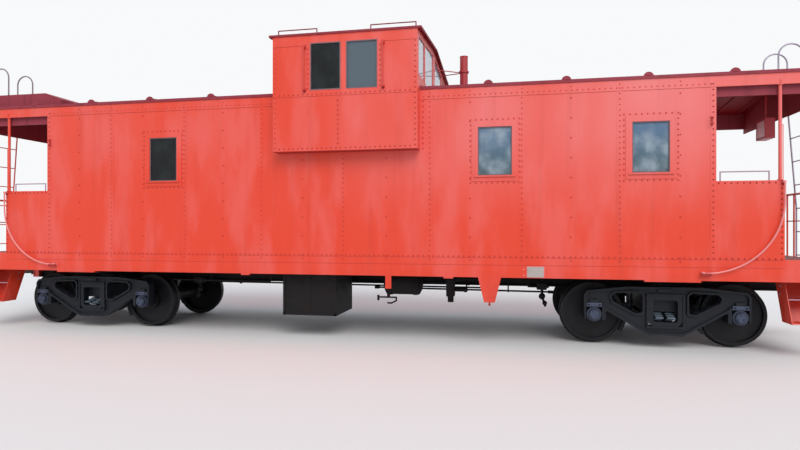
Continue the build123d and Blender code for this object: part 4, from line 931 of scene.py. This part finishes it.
underside = 1.19  # where hangers and risers end, inside the floor
tube = {"main": 0.017, "small": 0.011, "thin": 0.012, "rod": 0.014, "pin": 0.022}
pipework = [
    # the brake pipe in its hangers, and the pipes of the tank, the battery box and the cylinder
    (addPipe, [(-6.16, 0.28, 0.98), (-5.4, 0.28, 1.10), (5.4, 0.28, 1.10), (6.16, 0.28, 0.98)],
     tube["main"]),
    *[(addBox, (x - 0.015, 0.255, 1.10), (x + 0.015, 0.305, car["floorTop"] - 0.04))
      for x in (-5.0, -3.3, -1.5, 0.2, 1.4, 3.3, 5.0)],
    (addPipe, [(0.75, -0.60, 0.80), (0.75, -0.36, 0.80), (0.75, -0.36, 1.04), (0.75, 0.28, 1.09)],
     tube["small"]),
    (addPipe, [(-2.95, -0.98, 0.80), (-1.3, -0.98, 0.80), (-1.3, -0.98, 1.08), (-1.0, -0.98, 1.08)],
     tube["small"]),
    (addPipe, [(1.60, -0.71, 0.86), (1.90, -0.71, 0.86), (1.90, -0.71, 1.08), (2.7, -0.71, 1.08)],
     tube["small"]),
    # control valve on its bracket beside the tank, with its cocks
    (addBox, (1.40, -0.80, 0.60), (1.52, -0.62, 0.95), 0.015),
    (addRod, (1.46, -0.71, 0.95), (1.46, -0.71, underside), 0.03),
    (addRod, (1.46, -0.71, 0.60), (1.46, -0.71, 0.515), 0.045, 16),
    (addRod, (1.52, -0.71, 0.86), (1.60, -0.71, 0.86), 0.04, 16),
    (addRod, (1.52, -0.71, 0.70), (1.66, -0.71, 0.70), 0.028, 16),
    (addBall, (1.68, -0.71, 0.70), 0.04),
    (addRod, (1.06, -0.76, 0.79), (1.40, -0.74, 0.80), 0.016),
    # drain cock and loop handle below the tank
    (addRod, (0.52, -0.76, 0.64), (0.52, -0.76, 0.56), 0.024),
    (addRod, (0.36, -0.76, 0.60), (0.36, -0.76, 0.52), 0.018),
    (addPipe, [(0.36, -0.76, 0.570), (0.64, -0.76, 0.570), (0.64, -0.76, 0.520), (0.56, -0.76, 0.480),
               (0.50, -0.76, 0.485)], tube["thin"]),
]
# branch pipe with its union and cut-out cock beside each truck
branches = [
    (addRod, (2.80, -0.45, underside), (2.80, -0.45, 0.62), 0.020),
    (addBox, (2.72, -0.52, 0.70), (2.87, -0.38, 0.81), 0.015),
    (addBall, (2.80, -0.45, 0.60), 0.050),
    (addBall, (2.84, -0.45, 0.50), 0.036),
    (addRod, (2.80, -0.45, 0.60), (2.85, -0.45, 0.45), 0.018),
    (addRod, (2.87, -0.45, 0.76), (2.90, -0.45, 0.76), 0.036, 16),
    (addPipe, [(2.72, -0.45, 0.74), (2.60, -0.45, 0.74), (2.60, -0.45, 1.10)], tube["thin"]),
]
rigging = [
    # levers, the pins at the cylinder, the rod between the levers, and hangers
    (addBox, (2.42, 0.10, 0.808), (2.47, 0.74, 0.832), 0.006),
    (addBox, (-2.63, 0.12, 0.848), (-2.57, 0.74, 0.872), 0.006),
    *[(addRod, (2.445, y, 0.82 + half), (2.445, y, 0.82 - half), tube["pin"])
      for y, half in ((0.16, 0.02), (0.52, 0.03), (0.70, 0.02))],
    (addRod, (2.445, 0.70, 0.82), (-2.60, 0.70, 0.86), tube["rod"]),
    (addBox, (-2.62, 0.40, 0.86), (-2.58, 0.44, underside)),
    (addBox, (2.43, 0.28, 0.82), (2.46, 0.32, underside)),
    *[(addBox, (x - half, y0, z), (x + half, y1, underside))
      for xs, y0, y1, z, half in (((-1.505, 0.0, 1.505), 0.672, 0.728, 0.835, 0.012),
                                  ((-2.40, -1.30, 0.80, 1.62), 0.205, 0.275, 0.630, 0.010),
                                  ((0.90, 2.30), -0.235, -0.165, 0.625, 0.010)) for x in xs],
]
# pull rods that run low to each truck, with a jaw at both ends
for start, end, y in ((0.20, 2.95, -0.20), (-2.95, 1.90, 0.24)):
    rigging += [(addRod, (start, y, 0.660), (end, y, 0.640), tube["rod"]),
                (addBox, (start - 0.03, y - 0.03, 0.638), (start + 0.05, y + 0.03, 0.682), 0.006),
                (addBox, (end - 0.05, y - 0.03, 0.618), (end + 0.03, y + 0.03, 0.662), 0.006)]
battery = {
    "face": 0.012, "hinges": 0.14, "pads": ((0.03, 0.66, 0.69, 0.010), (0.012, 0.52, 0.66, 0.008)),
    "angle": 0.035, "angleTop": 0.64, "proud": 0.005, "boltEnd": 0.05, "pitch": 0.12,
}
tank = {
    "y": -0.76, "bands": (0.56, 0.94), "cylinder": (1.62, 0.52, 0.82), "circle": 0.160, "bolts": 8,
}


def makePipework():
    bm = bmesh.new()
    addRows(bm, pipework)
    addRows(bm, branches, bothEnds)
    finishPiece(bm, "pipework", "underframe", slot="underframe_black", smooth=True)


def makeBatteryDetail():
    # hinges with their straps, edge angles and bolts on the hung box
    low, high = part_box("battery_box")
    face, bottom = low.y + battery["face"], low.z
    left, right, front = low.x + battery["face"], high.x - battery["face"], face - battery["proud"]
    bm = bmesh.new()
    for x in (low.x + battery["hinges"], (low.x + high.x) / 2, high.x - battery["hinges"]):
        for half, foot, top, proud in battery["pads"]:
            addBox(bm, (x - half, face - proud, bottom + foot), (x + half, face, bottom + top), 0.003)
    for x in (left, right - battery["angle"]):
        addBox(bm, (x, front, bottom), (x + battery["angle"], face, bottom + battery["angleTop"]))
    addBox(bm, (left, front, bottom), (right, face, bottom + battery["angle"]))
    for x in spread(low.x + battery["boltEnd"], high.x - battery["boltEnd"], battery["pitch"]):
        addBolt(bm, (x, front, bottom + 0.018), (0, -1, 0), 0.014, 0.006)
    finishPiece(bm, "batteryDetail", "underframe", slot="underframe_black")


def makeTankBands():
    # bolted ears on the straps of the tank and the head bolts of the cylinder
    bm = bmesh.new()
    for x in tank["bands"]:
        addRows(bm, [(addBox, (x - 0.03, 0.176, 0.76), (x + 0.03, 0.200, 0.82), 0.004),
                     (addBolt, (x, 0.200, 0.79), outY, 0.018, 0.010)], bothSides, (0, tank["y"], 0))
    x, y, z = tank["cylinder"]
    for dy, dz in circle(tank["bolts"], tank["circle"]):
        addBolt(bm, (x, y + dy, z + dz), (-1, 0, 0))
    finishPiece(bm, "tankBands", "underframe", slot="underframe_black")


makePipework()
dress("brakeRods", "underframe", rigging, slot="underframe_black", smooth=True)
makeBatteryDetail()
makeTankBands()
print("pipes and rigging made")


# Trucks

# places from the truck's middle: on each side frame beside each axle, on each frame, at each lever
bearing = car["axleOffset"]
frameIrons = [
    (addBox, (bearing - 0.06, 1.058, 0.600), (bearing + 0.06, 1.084, 0.640), 0.005),
    *[(addBolt, (bearing + dx, 1.088, 0.572), outY, 0.018, 0.008) for dx in (-0.07, 0.07)],
    *[(addBolt, (0.245, 1.078, z), outY, 0.016, 0.007) for z in (0.36, 0.47, 0.58, 0.68)],
    (addRod, (0.47, 0.955, 0.70), (0.44, 0.80, 0.40), 0.012),  # brake hanger
]
adapters = [(addBox, (bearing - 0.098, 1.048, 0.544), (bearing + 0.098, 1.088, 0.600), 0.006)]
planks = [(addBox, (-0.10, 1.058, 0.760), (0.10, 1.084, 0.812), 0.006)]
levers = [
    (addBox, (0.227, -0.028, 0.24), (0.249, 0.028, 0.66), 0.004),
    (addRod, (0.208, 0, 0.354), (0.268, 0, 0.354), 0.017),
]
pushRod = [(addRod, (-0.25, 0, 0.275), (0.25, 0, 0.275), 0.014)]
# places from the bearing's middle on the car's middle line
capBolts = [(addRod, (0, 1.106, 0), (0, 1.114, 0), 0.056, 20)]
capBolts += [(addBolt, (dx, 1.114, dz), outY, 0.026, 0.014) for dx, dz in circle(3, 0.040, 90)]


def makeTruckWork():
    # blocks over the bearings, wear plate pins, brake hangers and levers
    for label, side in ends:
        middle, bm = (side * car["truckPlace"], 0, 0), bmesh.new()
        for rows, flips in ((frameIrons, corners), (planks, bothSides), (levers, bothEnds), (pushRod, once)):
            addRows(bm, rows, flips, middle)
        where = {"body": label + "_truck", "slot": "truck_steel", "smooth": True}
        finishPiece(bm, label + "TruckIrons", "truck", **where)
        dress(label + "TruckAdapters", "bearingBlue", adapters, corners, middle, **where)


def makeBearingBolts():
    # three cap bolts with a locking plate on each bearing
    for label, side in ends:
        for position, along in (("outer", side), ("inner", -side)):
            place = (side * car["truckPlace"] + along * car["axleOffset"], 0, car["axleHeight"])
            dress(label + position.capitalize() + "CapBolts", "bearingBlue", capBolts, bothSides, place,
                  body=label + "_" + position + "_wheelset", slot="wheel_steel", smooth=True)


makeTruckWork()
makeBearingBolts()
print("trucks dressed")


# Couplers, doors and hand brake

coupling = [  # pin cap, lock lifter with its pin, and wear plate
    (addRod, (6.645, -0.118, 1.066), (6.645, -0.118, 1.082), 0.034, 16),
    (addBox, (6.42, -0.045, 1.010), (6.51, 0.045, 1.050), 0.008),
    (addRod, (6.47, -0.05, 1.045), (6.47, 0.05, 1.045), 0.014),
    (addBox, (6.28, -0.055, 0.8195), (6.44, 0.055, 0.8235)),
]
door = {
    "face": 0.016, "sash": 0.006, "inner": 0.012, "outer": 0.03, "kick": (0.002, 0.30, 1.25, 1.36),
    "lock": (0.272, 2.36), "lockDepth": 0.012, "lockRadius": 0.026,
}
handBrake = [  # the rod down to the deck, the release lever and the cover's bolts
    (addRod, (6.150, 0.02, 1.66), (6.150, 0.02, 1.231), 0.012),
    (addRod, (6.155, -0.09, 1.90), (6.125, -0.20, 1.97), 0.009),
    (addBall, (6.125, -0.20, 1.97), 0.018),
    *[(addBolt, (6.120, y, z), -outX, 0.018, 0.008) for y in (-0.075, 0.075) for z in (1.70, 1.86)],
]


def makeDoorDetail():
    # kick plate, sash round the glass and a deadlock on each door
    thick, half, low, high = door["kick"]
    aside, height = door["lock"]
    for label, side in ends:
        bm, kick = bmesh.new(), bmesh.new()
        face = side * (car["halfLength"] - door["face"])
        addFrame(bm, *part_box("door_glass_" + label), face, side * door["sash"], door["inner"], door["outer"])
        addBox(kick, (face, -half, low), (face + side * thick, half, high))
        addRod(bm, (face, -side * aside, height), (face + side * door["lockDepth"], -side * aside, height),
               door["lockRadius"], 20)
        finishPiece(bm, label + "DoorTrim", "bodyRed", label + "_door")
        finishPiece(kick, label + "KickPlate", "galvanised", label + "_door", "galvanised_steel")


for label, side in ends:
    dress(label + "CouplerDetail", "coupler", coupling, [(side, side, 1)], body=label + "_coupler",
          slot="coupler_steel", smooth=True)
makeDoorDetail()
brakeLow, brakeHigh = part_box("hand_brake")
dress("handBrakeDetail", "seamAndShadeRed", handBrake, shift=(0, (brakeLow.y + brakeHigh.y) / 2, 0), smooth=True)
print("couplers, doors and brake dressed")


# Roof

roofWork = {
    "crown": 3.732, "rise": 0.150, "overhang": 0.016, "cap": 0.019, "seams": (2.05, 3.07, 4.09, 5.11),
    "rivets": (0.06, 1.38, 0.12), "flashing": 0.030, "flashingThick": 0.012, "flashingReach": 1.43,
}
roofSlope = roofWork["rise"] / (car["halfWidth"] + roofWork["overhang"])
pipeLip = {"x": 1.562, "y": 0.390, "radius": 0.066, "bead": 0.006, "sides": 12, "steps": 32}


def makeRoofRivets():
    # along the seam caps
    bm = bmesh.new()
    places = [(x, y, roofWork["crown"] + roofWork["cap"] - roofSlope * y)
              for x in roofWork["seams"] for y in spread(*roofWork["rivets"])]
    for end, side, _ in corners:
        addHeads(bm, [(end * x, side * y, z) for x, y, z in places], (0, 0, 1))
    finishPiece(bm, "roofRivets", "roofRed", slot="roof_red", smooth=True)


def makePipeLip():
    # the stove pipe's rolled lip
    lip = bmesh.new()
    upright = Matrix.Rotation(math.radians(90), 4, "X")
    bmesh.ops.create_circle(lip, cap_ends=False, segments=pipeLip["sides"], radius=pipeLip["bead"],
                            matrix=Matrix.Translation((pipeLip["radius"], 0, 0)) @ upright)
    bmesh.ops.spin(lip, geom=lip.verts[:] + lip.edges[:], cent=(0, 0, 0), axis=(0, 0, 1),
                   angle=math.radians(360), steps=pipeLip["steps"], use_merge=True)
    bmesh.ops.remove_doubles(lip, verts=lip.verts, dist=0.0001)
    bmesh.ops.recalc_face_normals(lip, faces=lip.faces)
    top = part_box("smoke_jack")[1].z - pipeLip["bead"]
    bmesh.ops.translate(lip, vec=(pipeLip["x"], pipeLip["y"], top), verts=lip.verts)
    finishPiece(lip, "pipeLip", "jackRed", smooth=True)


def makeFlashing():
    # strips on the roof along the cupola's ends
    thick, reach, width = (roofWork[key] for key in ("flashingThick", "flashingReach", "flashing"))
    crown = roofWork["crown"] + thick / 2
    bm = bmesh.new()
    for x in (cupolaLow.x - width / 2, cupolaHigh.x + width / 2):
        for side in both:
            addSlope(bm, (x, 0, crown), (x, side * reach, crown - roofSlope * reach), width, thick)
    finishPiece(bm, "cupolaFlashing", "roofRed", slot="roof_red")


makeRoofRivets()
makePipeLip()
makeFlashing()
print("roof dressed")


# Floor, light and camera

stage = {
    "size": 120, "floor": (0.80, 0.80, 0.79, 1), "far": (0.94, 0.95, 0.96, 1), "fade": (14, 42),
    "sky": (0.86, 0.91, 1.0, 1), "skyStrength": 0.72,
}
sun = {"energy": 1.7, "angle": 40, "colour": (1.0, 0.97, 0.93), "turn": (48, 0, 24)}
view = {
    "place": (2.408, -9.3425, 1.621), "lens": 26.0, "sensor": 36, "turn": (90, 0, 11.28),
    "rise": 3 / 800,  # the horizon lies 3 pixels under the middle of the 800 pixel wide frame
}


def seenRays(tree):
    # rays from the camera, and those that glass and gloss pass on
    rays = addNode(tree, "LightPath").outputs
    seen = calculate(tree, "MAXIMUM", rays["Is Camera Ray"], rays["Is Glossy Ray"])
    return calculate(tree, "MAXIMUM", seen, rays["Is Transmission Ray"])


def blendOutput(tree, mask, first, second, output):
    blend = addNode(tree, "MixShader", {"Fac": mask, 1: first.outputs[0], 2: second.outputs[0]})
    join(tree, blend.outputs[0], tree.nodes[output].inputs["Surface"])


def makeFloor():
    # pale paper that fades into the backdrop
    bm = bmesh.new()
    bmesh.ops.create_grid(bm, x_segments=8, y_segments=8, size=stage["size"])
    floor = addObject("floor", makeMesh(bm, "floor"))
    material, tree, surface = newMaterial("floorPaper")
    surface.inputs["Base Color"].default_value = stage["floor"]
    surface.inputs["Roughness"].default_value = 0.9
    place = placeIn(tree)
    distance = addNode(tree, "VectorMath", {0: place}, operation="LENGTH").outputs["Value"]
    seen = times(tree, ramp(tree, distance, *stage["fade"]), seenRays(tree))
    glow = addNode(tree, "Emission", {"Color": stage["far"]})
    blendOutput(tree, seen, surface, glow, "Material Output")
    floor.data.materials.append(material)


def makeWorld():
    world = bpy.data.worlds.new("studio")
    bpy.context.scene.world = world
    world.use_nodes = True
    tree = world.node_tree
    sky = tree.nodes["Background"]
    sky.inputs["Color"].default_value = stage["sky"]
    sky.inputs["Strength"].default_value = stage["skyStrength"]
    backdrop = addNode(tree, "Background", {"Color": stage["far"], "Strength": 1.0})
    blendOutput(tree, seenRays(tree), sky, backdrop, "World Output")


def makeLamp():
    light = bpy.data.lights.new("softSun", "SUN")
    light.energy = sun["energy"]
    light.angle = math.radians(sun["angle"])
    light.color = sun["colour"]
    addObject("softSun", light).rotation_euler = [math.radians(angle) for angle in sun["turn"]]


def makeCamera():
    data = bpy.data.cameras.new("camera")
    data.sensor_width = view["sensor"]
    data.lens = view["lens"]
    data.shift_y = view["rise"]
    camera = addObject("camera", data)
    camera.location = view["place"]
    camera.rotation_euler = [math.radians(angle) for angle in view["turn"]]
    bpy.context.scene.camera = camera


makeFloor()
makeWorld()
makeLamp()
makeCamera()
bpy.context.scene.view_settings.view_transform = "Standard"
print("stage, light and camera made")
